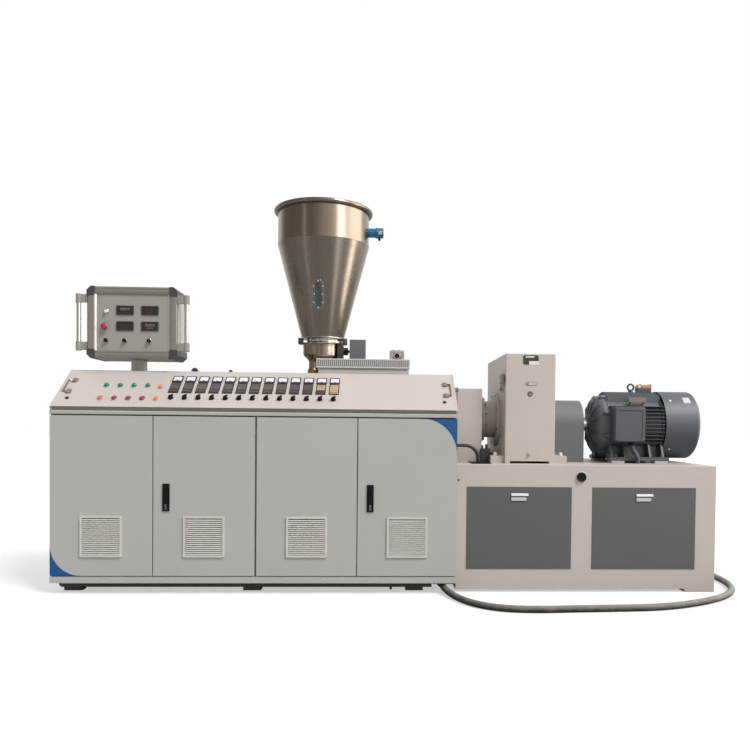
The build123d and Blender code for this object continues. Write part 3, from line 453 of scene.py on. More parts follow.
def finish_of(name):
    """A new material, its board and its shader."""
    made = bpy.data.materials.new(name)
    made.use_nodes = True
    return made, Board(made.node_tree), made.node_tree.nodes["Principled BSDF"]


def shade(colour, share):
    """A colour made lighter or darker by a share."""
    return tuple(min(1.0, value * share) for value in colour)


def wire_up(board, shader, colour, roughness, relief=None):
    """Plugs in a finish's colour and roughness, and its relief from (strength, depth, height)."""
    board.plug(shader.inputs["Base Color"], colour)
    board.plug(shader.inputs["Roughness"], roughness)
    if relief:
        bump = board.node("Bump", None, dict(zip(("Strength", "Distance", "Height"), relief)))
        board.plug(shader.inputs["Normal"], bump)


def paint(name, colour, roughness=0.42, drift=0.05, dust=0.10, peel=0.06, corner=None):
    """Powder paint: orange peel, slow drift of tone, rubbed spots and dust near the floor."""
    made, board, shader = finish_of(name)
    clouds = board.noise(drift_size, 3.0)
    rubs = board.noise(rub_size, 6.0, rough=0.7)
    tone = board.mix(clouds, shade(colour, 1 - drift), shade(colour, 1 + drift))
    x, y, z = board.axes()
    if corner:
        from_x, from_z, wide, high = corner
        across, up = 1 - (x - from_x) / wide, 1 - (z - from_z) / high
        outside = (across > 0) * (up > 0) * (across * across + up * up > 1) * (film_back - y > 0)
        tone = board.mix(outside, tone, corner_blue)
    low = ((dust_height - z) / dust_height).clamped() * (0.4 + rubs * 0.6) * dust
    tone = board.mix(low, tone, shade(colour, 0.45))
    tone = board.mix(((rubs - 0.66) * 6).clamped() * 0.10, tone, shade(colour, 0.72))
    rough = roughness + (rubs - 0.5) * 0.12 + low * 0.8
    wire_up(board, shader, tone, rough, (peel, 0.0006, board.noise(peel_size, 1.0)))
    return made


grey_paint = paint("grey_door_paint", linear(170, 170, 165), dust=0.0)
desk_paint = paint("desk_paint", linear(186, 178, 172), roughness=0.38, dust=0.0)
machine_paint = paint("machine_beige_paint", linear(186, 177, 169), roughness=0.45, dust=0.18)
panel_paint = paint(
    "charcoal_panel_paint", linear(82, 86, 84), roughness=0.55, dust=0.12, peel=0.12
)
guard_paint = paint("guard_grey_paint", linear(95, 98, 99), roughness=0.6)
slate_paint = paint("motor_slate_paint", linear(70, 76, 82), roughness=0.5, drift=0.10, peel=0.10)
slate_dark = paint("motor_casting_paint", linear(68, 73, 78), roughness=0.46, drift=0.12, peel=0.16)
shield_paint = paint("motor_shield_paint", linear(90, 93, 97), roughness=0.5, drift=0.12, peel=0.16)
# This is the feed housing's own paint. On the control box's side sheets it is painted light.
pale_paint_and_painted_light = paint("housing_paint_and_painted_light", linear(203, 197, 190), dust=0.0)
bracket_paint = paint("bracket_black_paint", linear(45, 47, 48), roughness=0.5, dust=0.0)
# On the underframe and the cabinet's feet this dark paint is painted shade, for the shade under the
# cabinet and the base. The clamp's wing bolts use it too.
dark_paint_and_painted_shade = paint("underframe_dark_and_painted_shade", linear(88, 86, 80), roughness=0.6, dust=0.3)
print("painted finishes made")

# %% [markdown]
# ## Steel, aluminium and plastic
# Bare metal is a metallic shader with grain. Sheet steel is rolled, so its grain runs in lines. A
# cone is bent from such a sheet, so its grain runs round and its tone changes from facet to facet.
# Plastic parts are smoother and evenly coloured, with a fine moulded grain.

# %% Bare metals and plastics
def metal(
    name, colour, roughness=0.3, grain=(40, 40, 900), depth=0.08, stain=0.15, metallic=1.0,
    tarnish=None,
):
    """Bare metal with grain that is stretched along one axis, and a cloudy stain."""
    made, board, shader = finish_of(name)
    stretched = board.node("Mapping", None, {"Vector": board.place(), "Scale": grain})
    lines = board.node("TexNoise", None, {"Vector": stretched, "Scale": 1.0, "Detail": 4.0})
    clouds = board.noise(0.12, 5.0, rough=0.6)
    tone = board.mix(clouds, shade(tarnish or colour, 1 - stain), colour)
    tone = board.mix(lines * 0.3, tone, shade(colour, 0.8))
    shader.inputs["Metallic"].default_value = metallic
    rough = roughness + (lines - 0.5) * 0.12 + (clouds - 0.5) * 0.1
    wire_up(board, shader, tone, rough, (depth, 0.0004, lines))
    return made


def plastic(name, colour, roughness=0.4, mottle=0.06, grain=0.0009, depth=0.06, coat=0.0):
    """Moulded plastic with a fine grain."""
    made, board, shader = finish_of(name)
    clouds = board.noise(0.05, 4.0)
    tone = board.mix(clouds, shade(colour, 1 - mottle), shade(colour, 1 + mottle))
    shader.inputs["Coat Weight"].default_value = coat
    rough = roughness + (clouds - 0.5) * 0.1
    wire_up(board, shader, tone, rough, (depth, 0.0002, board.noise(grain, 1.0)))
    return made


turned_steel = metal("turned_steel", linear(176, 170, 163), 0.28)
bright_steel = metal("bright_steel", linear(214, 210, 204), 0.2)
oiled_steel = metal("oiled_dark_steel", linear(58, 54, 50), 0.45, stain=0.35)
brown_steel = metal(
    "browned_chute_steel", linear(168, 152, 138), 0.34, stain=0.35, tarnish=linear(128, 114, 104)
)
profile_aluminium = metal(
    "satin_aluminium_profile", linear(146, 141, 133), 0.42, (5, 900, 900), 0.04, metallic=0.4
)
post_paint = paint("post_grey_paint", linear(168, 164, 156), dust=0.0)
panel_aluminium = paint("control_panel_enamel", linear(150, 147, 141), roughness=0.4, dust=0.0)
black_plastic = plastic("black_plastic", linear(13, 13, 14), 0.5)
black_plastic.node_tree.nodes["Principled BSDF"].inputs["Specular IOR Level"].default_value = 0.2
soft_black = plastic("soft_black_plastic", linear(44, 43, 43), 0.5)
corner_plastic = plastic("dark_corner_plastic", linear(64, 62, 60), 0.45)
grille_plastic = plastic("grille_plastic", linear(196, 193, 186), 0.5)
duct_plastic = plastic("duct_plastic", linear(198, 195, 190), 0.5)
label_white = plastic("blank_label", linear(186, 192, 198), 0.45)
green_cap = plastic("green_cap", linear(14, 122, 92), 0.25, coat=0.5)
red_cap = plastic("red_cap", linear(132, 58, 76), 0.3, coat=0.4)
pale_red_cap = plastic("pale_red_cap", linear(205, 104, 104), 0.3, coat=0.4)
stop_cap = plastic("stop_cap", linear(164, 38, 52), 0.28, coat=0.5)
amber_cap = plastic("amber_cap", linear(232, 128, 42), 0.25, coat=0.5)
white_cap = plastic("white_cap", linear(214, 212, 206), 0.3, coat=0.4)
sensor_blue = plastic("sensor_blue", linear(24, 104, 138), 0.35)
cable_rubber = plastic("cable_rubber", linear(40, 39, 40), 0.55, mottle=0.25)
motor_cable_rubber = plastic("motor_cable_rubber", linear(60, 60, 75), 0.5)
cast_finish, board, shader = finish_of("speckled_casting")
speckle = board.noise(0.009, 6.0, rough=0.85)
speckles = board.mix(((speckle - 0.42) * 6).clamped(), linear(92, 87, 82), linear(214, 208, 202))
wire_up(board, shader, speckles, 0.6, (0.6, 0.001, speckle))
print("metals and plastics made")

# %% [markdown]
# ## Stainless hopper sheet
# The hopper is satin stainless steel. Its colour is painted darker and warmer than bare steel, as a
# painted reflection of a dark, warm workshop. It also mirrors a warm workshop, so it looks like
# dark bronze with upright bars of light. Its tone drifts with the angle round the axis, as rolled
# sheet does, and these drifts also paint faint upright streaks of reflection.

# %% Stainless finish
def stainless(name, colour, roughness, tone_drift=0.12):
    """Rolled stainless sheet about the hopper's upright axis."""
    made, board, shader = finish_of(name)
    x, y, z = board.axes()
    from_axis = {0: y - hopper_middle.y, 1: x - hopper_middle.x}
    angle = board.node("Math", {"operation": "ARCTAN2"}, from_axis)
    around = board.node("CombineXYZ", None, {0: angle * 3.2, 1: z * 0.35, 2: 0.0})
    sockets = {"Vector": around, "Scale": 2.2, "Detail": 3.0, "Roughness": 0.6}
    rolled_and_painted_streaks = board.node("TexNoise", None, sockets)
    fine = board.node("CombineXYZ", None, {0: angle * 3.0, 1: z * 260, 2: 0.0})
    hair = board.node("TexNoise", None, {"Vector": fine, "Scale": 1.0, "Detail": 3.0})
    stains = board.noise(0.09, 6.0, rough=0.65)
    # The drift of tone round the axis is partly rolled-sheet facets and partly painted reflection
    # streaks.
    tone = board.mix(rolled_and_painted_streaks, shade(colour, 1 - tone_drift), shade(colour, 1 + tone_drift))
    tone = board.mix(((stains - 0.55) * 3).clamped() * 0.10, tone, shade(colour, 0.7))
    shader.inputs["Metallic"].default_value = 1.0
    rough = roughness + (hair - 0.5) * 0.1 + (stains - 0.5) * 0.12
    wire_up(board, shader, tone, rough, (0.05, 0.0005, hair + rolled_and_painted_streaks * 3))
    return made


# These colours are darker and warmer than bare stainless steel: painted reflection of a dark, warm
# workshop.
cylinder_sheet = stainless("hopper_cylinder_sheet", linear(140, 131, 120), 0.23)
cone_sheet = stainless("hopper_cone_sheet", linear(134, 126, 114), 0.26, 0.16)
print("stainless sheet made")

# %% [markdown]
# ## Giving the solids their finishes
# A solid whose shape is right keeps its mesh and gets a finish and rounded edges. The bevels are
# about the radius of a folded sheet edge, so that the edges catch the light.

# %% Finishes of the carried solids
door_grey = linear(170, 170, 165)
first_low, last_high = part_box("door_1")[0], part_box("door_4")[1]
corner_1 = (first_low.x, first_low.z, 0.190, 0.200)
corner_4 = (last_high.x, last_high.z, -0.217, -0.237)
carried = [
    (grey_paint, {"cabinet_sides": 1, "cabinet_top_and_floor": 1, "cabinet_back": 2}),
    (grey_paint, {"cabinet_rails": 1.2, "door_2": 1.5, "door_3": 1.5}),
    (paint("door_1_paint", door_grey, dust=0.0, corner=corner_1), {"door_1": 1.5}),
    (paint("door_4_paint", door_grey, dust=0.0, corner=corner_4), {"door_4": 1.5}),
    (dark_paint_and_painted_shade, {"underframe": 3, "cabinet_feet": 2}),
    (desk_paint, {"console_desk": 2}),
    (post_paint, {"control_post": 3}),
    (panel_aluminium, {"control_box": 1}),
    (turned_steel, {"sight_glass": 1, "hopper_clamp": 1, "feeder_cup": 1, "barrel": 2}),
    (turned_steel, {"drive_shaft": 1, "bow_handles": 0}),
    (brown_steel, {"feed_chute": 1}),
    (bracket_paint, {"feeder_drive": 3}),
    (guard_paint, {"feeder_motor": 3, "coupling_guard": 12}),
    (machine_paint, {"barrel_feet": 3, "barrel_bed": 4, "drive_bed": 4, "thrust_housing": 3}),
    (machine_paint, {"gearbox": 2}),
    (pale_paint_and_painted_light, {"feed_housing": 2}),
    (duct_plastic, {"slotted_duct": 1}),
    (cast_finish, {"vent_fitting": 3}),
    (panel_paint, {"bed_panels": 1, "rear_panels": 1}),
    (slate_dark, {"motor_body": 4, "motor_top_box": 3}),
    (slate_paint, {"motor_cowl": 1, "terminal_box": 4, "lifting_eye": 0}),
    (cable_rubber, {"side_cables": 0}),
    (motor_cable_rubber, {"motor_cable": 0}),
    (cylinder_sheet, {"hopper_cylinder": 0}),
    (cone_sheet, {"hopper_cone": 0}),
    (sensor_blue, {"level_sensor": 3}),
    (soft_black, {"meters": 2, "controllers": 2}),
    (black_plastic, {"cable_glands": 2, "selector_knobs": 2, "push_buttons": 2}),
    (black_plastic, {"desk_fittings": 1, "control_box_fittings": 1}),
    (black_plastic, {"door_2_latch": 1, "door_4_latch": 1}),
    (profile_aluminium, {"control_box_frame": 4, "control_box_handles": 2}),
]
for finish, edges in carried:
    for name, edge in edges.items():
        carry(name, finish, edge * MM)
print("solids with a finish:", sum(len(edges) for finish, edges in carried))

# %% [markdown]
# ## The floor hose
# A hose 42 mm thick leaves the bed's foot, lies along the floor before the machine and goes back in
# behind its motor end. Its line is a smooth spline through listed points, the same route that the
# solid follows.

# %% Floor hose
left, front = -2.15, -0.565
hose_radius = 0.021
hose_length = 3.189
rib_pitch = 0.006
gland_height = 0.038
end_turn = math.radians(60)
bed_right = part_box("drive_bed")[1].x
hose_end = Vector((
    bed_right + gland_height * math.sin(end_turn),
    front + 0.7 - gland_height * math.cos(end_turn),
    gland_height,
))
hose_lead = hose_end + Vector((math.sin(end_turn), -math.cos(end_turn), 0)) * 0.09
hose_points = [
    (2.470, 0.162, 0.038), (2.470, 0.066, 0.038), (2.494, -0.062, 0.028), (2.552, -0.214, 0.021),
    (2.646, -0.358, 0.021), (2.786, -0.446, 0.021), (2.980, -0.469, 0.021), (3.210, -0.450, 0.021),
    (3.455, -0.437, 0.021), (3.700, -0.419, 0.021), (3.905, -0.352, 0.021), (4.105, -0.246, 0.021),
    (4.275, -0.112, 0.021), (4.390, 0.058, 0.021), (4.446, 0.240, 0.021), (4.458, 0.405, 0.021),
    (4.438, 0.538, 0.029),
]
hose_route = [(left + across, front + back, up) for across, back, up in hose_points]
hose_route += [tuple(hose_lead), tuple(hose_end)]


def hose_finish():
    """Ribbed hose: dust blotches, painted shade at its start, dust and painted light on its top and
    far end.
    """
    made, board, shader = finish_of("hose_dust_and_painted_light")
    along = board.axes(board.node("TexCoord", None, None, "UV"))[0]
    upward = board.axes(board.node("NewGeometry", None, None, "Normal"))[2]
    ribs = board.node(
        "Math", {"operation": "SINE"}, {0: along * (hose_length / rib_pitch * math.tau)}
    )
    blotches = board.noise(0.06, 5.0, rough=0.7)
    # The hose is darker where it starts at the bed's foot, which is painted shade. It is lighter on
    # top and towards its far end, which is dust and also painted light.
    dust_and_painted_light = (upward * 0.5 + along * 0.6 - 0.05 + (blotches - 0.5) * 0.9).clamped()
    tone = board.mix(dust_and_painted_light, linear(44, 42, 38), linear(146, 142, 135))
    wire_up(board, shader, tone, 0.75, (0.5, 0.0012, ribs))
    return made


def spline(name, points, radius):
    """A smooth round tube whose spline has these points as its control points."""
    data = bpy.data.curves.new(name, "CURVE")
    data.dimensions = "3D"
    data.bevel_depth = radius
    data.bevel_resolution = 8
    data.resolution_u = 16
    data.use_fill_caps = True
    line = data.splines.new("NURBS")
    line.points.add(len(points) - 1)
    for point, place in zip(line.points, points):
        point.co = (*place, 1)
    line.order_u = 3
    line.use_endpoint_u = True
    made = bpy.data.objects.new(name, data)
    scene.collection.objects.link(made)
    return made


hose = spline("floor_hose_tube", hose_route, hose_radius)
hose.data.materials.append(hose_finish())
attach(hose, "root")
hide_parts("floor_hose")
print("hose points:", len(hose_route))

# %% [markdown]
# ## Drawing on a face
# Most small pieces sit on a flat face: a door, the desk's slope, the control box's panel. It's
# easiest to draw them on that face as if it were paper, with a across, b up and the third number
# out of the face. A matrix then carries the drawing to its place.

# %% Faces and flat drawing
def spot(across, back, up):
    """A point in millimetres from the cabinet's left side, its doors and the floor."""
    return Vector((left + across * MM, front + back * MM, up * MM))


def face_matrix(right, up, origin):
    """The matrix of a face from its right and up directions; the third axis points out of it."""
    right, up = Vector(right).normalized(), Vector(up).normalized()
    turn = Matrix((right, up, right.cross(up))).transposed().to_4x4()
    return Matrix.Translation(Vector(origin)) @ turn


def facing(right, up):
    """A function that lays a face with these directions at a point."""
    return lambda origin: face_matrix(right, up, origin)


front_face = facing((1, 0, 0), (0, 0, 1))
back_face = facing((-1, 0, 0), (0, 0, 1))
left_face = facing((0, -1, 0), (0, 0, 1))
right_face = facing((0, 1, 0), (0, 0, 1))
top_face = facing((1, 0, 0), (0, 1, 0))
CORNERS = ((-1, -1), (-1, 1), (1, -1), (1, 1))


def rounded(width, height, radius, a=0, b=0, steps=5):
    """The outline of a rectangle with rounded corners about a middle point, in millimetres."""
    points = []
    for number, (sa, sb) in enumerate(((1, 1), (-1, 1), (-1, -1), (1, -1))):
        ca = a + sa * (width / 2 - radius)
        cb = b + sb * (height / 2 - radius)
        for step in range(steps + 1):
            angle = math.pi / 2 * (number + step / steps)
            points.append((ca + radius * math.cos(angle), cb + radius * math.sin(angle)))
    return points


def ring_of(radius, a=0, b=0, count=32, start=0.0):
    """Points on a circle about a middle point, in millimetres."""
    angles = [start + turn for turn in turns(count)]
    return [(a + radius * math.cos(angle), b + radius * math.sin(angle)) for angle in angles]


def on_face(place, outline, height):
    """An outline in millimetres on a face, lifted off it, as points in the machine's frame."""
    return [place @ Vector((a * MM, b * MM, height * MM)) for a, b in outline]


def add_plate(bm, place, outline, base, top):
    """A flat plate with an outline drawn on a face, from one height above it to another."""
    add_between(bm, on_face(place, outline, base), on_face(place, outline, top))


def add_frame(bm, place, outer, inner, base, top):
    """A flat frame between two outlines with the same number of points."""
    loops = ((outer, base), (outer, top), (inner, top), (inner, base))
    rows = [[bm.verts.new(point) for point in on_face(place, *loop)] for loop in loops]
    for first, second in zip(rows, rows[1:] + rows[:1]):
        for number in range(len(outer)):
            after = (number + 1) % len(outer)
            bm.faces.new([first[number], first[after], second[after], second[number]])


def add_stud(bm, place, a, b, radius, base, top, steps=32):
    """A round stud that stands on a face."""
    start, end = (on_face(place, [(a, b)], height)[0] for height in (base, top))
    add_rod(bm, start, end, radius * MM, steps)


def add_knob(bm, place, profile, a=0, b=0, steps=32):
    """A turned knob on a face from (radius, height) pairs, which begin and end on its axis."""
    scaled = [(max(radius, 0.001) * MM, height * MM) for radius, height in profile]
    add_turned(bm, scaled, place @ Matrix.Translation((a * MM, b * MM, 0)), steps)


def add_corner_knobs(bm, place, half_a, half_b, profile, steps):
    """The same knob at the four corners of a rectangle about a face's origin."""
    for a, b in CORNERS:
        add_knob(bm, place, profile, a * half_a, b * half_b, steps)


def add_hex(bm, place, a, b, across, base, top, turn=0.3):
    """A hexagon bolt head with a washer under it."""
    washer = base + 2.2
    add_stud(bm, place, a, b, across * 0.72, base, washer, steps=24)
    add_plate(bm, place, ring_of(across / 2 / math.cos(math.pi / 6), a, b, 6, turn), washer, top)


def add_bolt_circle(bm, place, radius, count, across, base, top, start=0.5):
    """Bolt heads that divide a circle on a face."""
    for turn in turns(count, start):
        add_hex(bm, place, radius * math.cos(turn), radius * math.sin(turn), across, base, top)


print("flat drawing ready")

# %% [markdown]
# ## Hopper
# The hopper is rolled from sheet: a short cylinder, a cone and a rim that is rolled over a wire. A
# profile turned about the upright axis gives all of it as one skin. The welded seam between the
# cylinder and the cone is a low bead.

# %% Hopper skin
hopper_axis = Vector((hopper_middle.x, hopper_middle.y, 0))
rim_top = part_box("hopper_cylinder")[1].z
cone_low, cone_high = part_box("hopper_cone")
seam_z = cone_high.z
outlet_z = cone_low.z
shell_radius = 0.320
outlet_radius = 0.150
sheet_thickness = 0.006
rim_radius = 0.015
rim_seat = 0.013
rim_middle_z = rim_top - rim_radius
hopper_steps = 192


def arc(centre_radius, centre_z, radius, start, end, steps):
    """Points on an arc in a profile, from one angle to another in degrees."""
    points = []
    for step in range(steps + 1):
        angle = math.radians(start + (end - start) * step / steps)
        out, up = radius * math.cos(angle), radius * math.sin(angle)
        points.append((centre_radius + out, centre_z + up))
    return points


bm = bmesh.new()
inner_radius = shell_radius - sheet_thickness
bead_radius = shell_radius + 0.0016
cylinder_profile = [(inner_radius, seam_z), (inner_radius, rim_middle_z)]
cylinder_profile += arc(shell_radius + rim_seat, rim_middle_z, rim_radius, 180, -130, 20)
cylinder_profile += [(shell_radius, rim_middle_z - 0.012), (shell_radius, seam_z + 0.008)]
cylinder_profile += [(bead_radius, seam_z + 0.004), (bead_radius, seam_z + 0.001)]
cylinder_profile += [(shell_radius, seam_z)]
add_turned(bm, cylinder_profile, Matrix.Translation(hopper_axis), hopper_steps)
piece(
    "hopper_rolled_cylinder", bm, cylinder_sheet, stands_for=["hopper_cylinder"],
    angle=60,
)

bm = bmesh.new()
cone_rings = 24
cone_inside = (outlet_radius - sheet_thickness, outlet_z)
cone_profile = [cone_inside, (outlet_radius, outlet_z), (outlet_radius + 0.0008, outlet_z + 0.004)]
for step in range(1, cone_rings + 1):
    share = step / cone_rings
    radius = outlet_radius + (shell_radius - outlet_radius) * share
    cone_profile.append((radius, outlet_z + (seam_z - outlet_z) * share))
cone_profile += [(inner_radius, seam_z), cone_inside]
add_turned(bm, cone_profile, Matrix.Translation(hopper_axis), hopper_steps)
bmesh.ops.remove_doubles(bm, verts=bm.verts, dist=0.00001)
piece("hopper_rolled_cone", bm, cone_sheet, stands_for=["hopper_cone"], angle=60)
print("hopper top at", round(rim_top, 3))

# %% [markdown]
# ## Sight glass
# A long oval window lets the operator see how full the cone is. It's a flat flange plate, a strip
# of tinted glass and eight nuts round it. The plate leans with the cone's wall.

# %% Sight glass
glass_finish, board, shader = finish_of("tinted_sight_glass")
tint = board.mix(board.noise(0.02, 3.0), linear(24, 44, 48), linear(58, 92, 96))
wire_up(board, shader, tint, 0.12)
shader.inputs["Coat Weight"].default_value = 0.6

sight_low, sight_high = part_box("sight_glass")
cone_lean = math.atan2(shell_radius - outlet_radius, seam_z - outlet_z)
sight_up = 0.276
wall_radius = outlet_radius + sight_up * math.tan(cone_lean)
sight_place = face_matrix(
    (1, 0, 0),
    (0, -math.sin(cone_lean), math.cos(cone_lean)),
    ((sight_low.x + sight_high.x) / 2, hopper_axis.y - wall_radius, outlet_z + sight_up),
)
sight_proud = 12.0
nut_places = [(0, 89), (0, -89), (29, 55), (-29, 55), (29, 0), (-29, 0), (29, -55), (-29, -55)]
bm = bmesh.new()
outer, inner = rounded(74, 199, 36.9, steps=12), rounded(42, 160, 20.9, steps=12)
add_frame(bm, sight_place, outer, inner, sight_proud, sight_proud + 3)
piece("sight_glass_flange", bm, cone_sheet, 0.0012)
bm = bmesh.new()
window = rounded(43, 161, 21.4, steps=12)
add_plate(bm, sight_place, window, sight_proud - 0.5, sight_proud + 1.2)
piece("sight_glass_window", bm, glass_finish, 0.0004)
bm = bmesh.new()
for a, b in nut_places:
    add_hex(bm, sight_place, a, b, 9, sight_proud + 3, sight_proud + 8)
piece("sight_glass_nuts", bm, bright_steel, 0.0006)
print("sight glass at", [round(v, 3) for v in sight_place.translation])

# %% [markdown]
# ## Level sensor
# A blue probe head stands out of the hopper's side and says when it is full. It's a moulded head
# on a collar, with a screwed lid, a pale blank patch and a gland for its cable.

# %% Level sensor
sensor_low, sensor_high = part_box("level_sensor")
sensor_axis_y = (sensor_low.y + sensor_high.y) / 2
sensor_axis_z = (sensor_low.z + sensor_high.z) / 2
sensor_place = right_face((sensor_high.x, sensor_axis_y, sensor_axis_z))
patch_place = front_face((sensor_high.x - 0.024, sensor_axis_y - 0.0352, sensor_axis_z))
gland_place = top_face((sensor_high.x - 0.030, sensor_axis_y, sensor_axis_z - 0.034))
grip_count, grip_ring = 12, 31
head = [
    (0, 0), (30, 0), (36, -3), (38, -9), (38, -13), (36, -15), (36, -44), (39, -46), (39, -52),
    (36, -55), (33, -58), (33, -106),
]
bm = bmesh.new()
add_knob(bm, sensor_place, head, steps=12)
for turn in turns(grip_count, 0.5):
    a, b = grip_ring * math.cos(turn), grip_ring * math.sin(turn)
    add_stud(bm, sensor_place, a, b, 3.2, -42, -14, steps=8)
piece(
    "level_sensor_head", bm, sensor_blue, 0.0015, stands_for=["level_sensor"],
    angle=25,
)
bm = bmesh.new()
add_plate(bm, patch_place, rounded(22, 24, 3, 0, -4), -3, 1.2)
patch_finish = plastic("sensor_patch", linear(188, 176, 158), 0.5)
piece("level_sensor_patch", bm, patch_finish, 0.0004)
bm = bmesh.new()
gland = [(0, 0), (8, 0), (8, -8), (10, -8), (10, -16), (6, -19), (0, -19)]
add_knob(bm, gland_place, gland, steps=16)
piece("level_sensor_gland", bm, black_plastic, 0.0006)

# %% [markdown]
# ## Clamp, cup and feeder
# Below the cone a bright clamp band holds a polished cup with a domed bottom, and a curved chute
# leads from it into the barrel. A black bracket carries the star knob of the shut-off slide, and a
# plain grey housing covers the feeder's gear motor.

# %% Clamp band and cup
cup_low, cup_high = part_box("feeder_cup")
clamp_low, clamp_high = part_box("hopper_clamp")
cup_axis = Vector(((cup_low.x + cup_high.x) / 2, (cup_low.y + cup_high.y) / 2, 0))
cup_finish = metal("polished_cup_steel", linear(176, 164, 152), 0.26, (300, 300, 8), stain=0.3)
cup_floor_z = cup_low.z + 0.078
cup_skin = 0.0955
cup_outside = cup_skin + 0.0005
dome = 0.034
band_radius = 0.121
bm = bmesh.new()
band = [
    (0.100, -0.008), (0.124, -0.008), (0.127, -0.013), (0.1215, -0.020), (0.1215, -0.031),
    (0.127, -0.038), (0.124, -0.044), (0.098, -0.046),
]
band = [(radius, outlet_z + up) for radius, up in band]
add_turned(bm, band, Matrix.Translation(cup_axis), 96)
for turn in turns(12, 0.5):
    around = cup_axis + Vector((math.cos(turn), math.sin(turn), 0)) * band_radius
    origin = (around.x, around.y, outlet_z - 0.023)
    place = face_matrix((-math.sin(turn), math.cos(turn), 0), (0, 0, 1), origin)
    add_hex(bm, place, 0, 0, 8, 0, 6)
piece("clamp_band", bm, bright_steel, 0.0007, angle=40)
bm = bmesh.new()
skin = [
    (0.0925, outlet_z - 0.034), (cup_outside, outlet_z - 0.040), (cup_outside, cup_floor_z + dome)
]
skin += arc(cup_outside - dome, cup_floor_z + dome, dome, 0, -90, 12)[1:]
skin += [(0.02, cup_floor_z - 0.0006)]
add_turned(bm, skin, Matrix.Translation(cup_axis), 96)
bead = [(0, -0.052), (0.003, -0.054), (0.003, -0.060), (0, -0.062)]
bead = [(cup_skin + out, outlet_z + up) for out, up in bead]
add_turned(bm, bead, Matrix.Translation(cup_axis), 96)
piece("polished_cup_skin", bm, cup_finish, angle=50)
print("cup axis", [round(v, 3) for v in cup_axis])

# %% Clamp lugs, bracket and star knob
bm = bmesh.new()
lug_middle = (clamp_low.z + clamp_high.z) / 2
lug_inset = 0.016
for x in (clamp_low.x + lug_inset, clamp_high.x - lug_inset):
    place = front_face((x, hopper_axis.y - 0.022, lug_middle))
    add_plate(bm, place, rounded(34, 45, 4), -45, 1.5)
    add_knob(bm, place, [(0, 10), (5, 10), (10, 7), (11, 1), (0, 1)], 0, 6, 24)
    add_hex(bm, place, 0, -12, 11, 1, 8)
piece("clamp_wing_bolts", bm, dark_paint_and_painted_shade, 0.0008)

motor_box_low, motor_box_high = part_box("feeder_motor")
knob_z = cup_low.z + 0.75 * (outlet_z - 0.043 - cup_low.z)
knob_place = right_face((cup_axis.x + 0.133, hopper_axis.y, knob_z))
knob_lobes, knob_radius, lobe_height = 6, 25.5, 3.0
star = []
for turn in turns(48):
    reach = knob_radius + lobe_height * math.cos(turn * knob_lobes)
    star.append((reach * math.cos(turn), reach * math.sin(turn)))
bm = bmesh.new()
add_plate(bm, knob_place, star, 8, 30)
hub = [(0, 36), (13, 36), (16, 30), (16, 8), (20, 4), (20, 0), (0, 0)]
add_knob(bm, knob_place, hub)
piece("slide_star_knob", bm, black_plastic, 0.002)
bm = bmesh.new()
cover_middle = (motor_box_low + motor_box_high) / 2
cover_place = front_face((cover_middle.x, motor_box_low.y, cover_middle.z))
cover_width = (motor_box_high.x - motor_box_low.x) / MM
cover_height = (motor_box_high.z - motor_box_low.z) / MM
add_plate(bm, cover_place, rounded(cover_width - 10, cover_height - 10, 5), 0, 1.5)
screw = [(0, 3.6), (2.4, 3.4), (4, 1.5), (0, 1.5)]
add_corner_knobs(bm, cover_place, cover_width / 2 - 12, cover_height / 2 - 12, screw, 16)
piece("feeder_motor_cover", bm, guard_paint, 0.0008)
print("feeder details made")

# %% [markdown]
# ## Slotted cable duct
# The duct along the feed housing is the common kind with fingers along its side and a clip-on lid.
# The fingers are what the eye sees: a row of narrow upright bars before a dark sheet, which is
# painted shade for the inside of the duct.

# %% Cable duct
duct_low, duct_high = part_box("slotted_duct")
duct_bottom_z = duct_low.z + 0.011
duct_middle = (duct_low.x + duct_high.x) / 2
duct_length = (duct_high.x - duct_low.x) / MM
finger_count = 47
finger_pitch = duct_length / finger_count
# The dark sheet behind the fingers is painted shade for the inside of the duct.
duct_painted_shade = plastic("duct_shadow", linear(58, 56, 54), 0.7)
bm = bmesh.new()
dark = bmesh.new()
for place in (
    front_face((duct_middle, duct_low.y, duct_bottom_z)),
    back_face((duct_middle, duct_high.y, duct_bottom_z)),
):
    add_plate(dark, place, rounded(duct_length - 6, 44, 1, 0, 32), -0.5, 0.6)
    for number in range(finger_count):
        a = -duct_length / 2 + finger_pitch * (number + 0.5)
        add_plate(bm, place, rounded(finger_pitch * 0.52, 46, 1.5, a, 31, 3), -0.5, 3.2)
    add_plate(bm, place, rounded(duct_length, 7, 1, 0, 57.5), -0.5, 3.6)
    add_plate(bm, place, rounded(duct_length, 9, 1, 0, 3.5), -0.5, 5.0)
piece("duct_fingers", bm, duct_plastic, 0.0006)
piece("duct_painted_shade", dark, duct_painted_shade)
bm = bmesh.new()
lid = top_face((duct_middle, (duct_low.y + duct_high.y) / 2, duct_high.z))
add_plate(bm, lid, rounded(duct_length, 87, 2), -0.4, 1.6)
piece("duct_lid", bm, duct_plastic, 0.0006)
print("duct fingers:", finger_count, "to a side")

# %% [markdown]
# ## Vent fitting
# The small cast block behind the duct is the barrel's vent. Its face has a bored port and corner
# screws, and the casting is left rough, so its finish is a speckled grey.

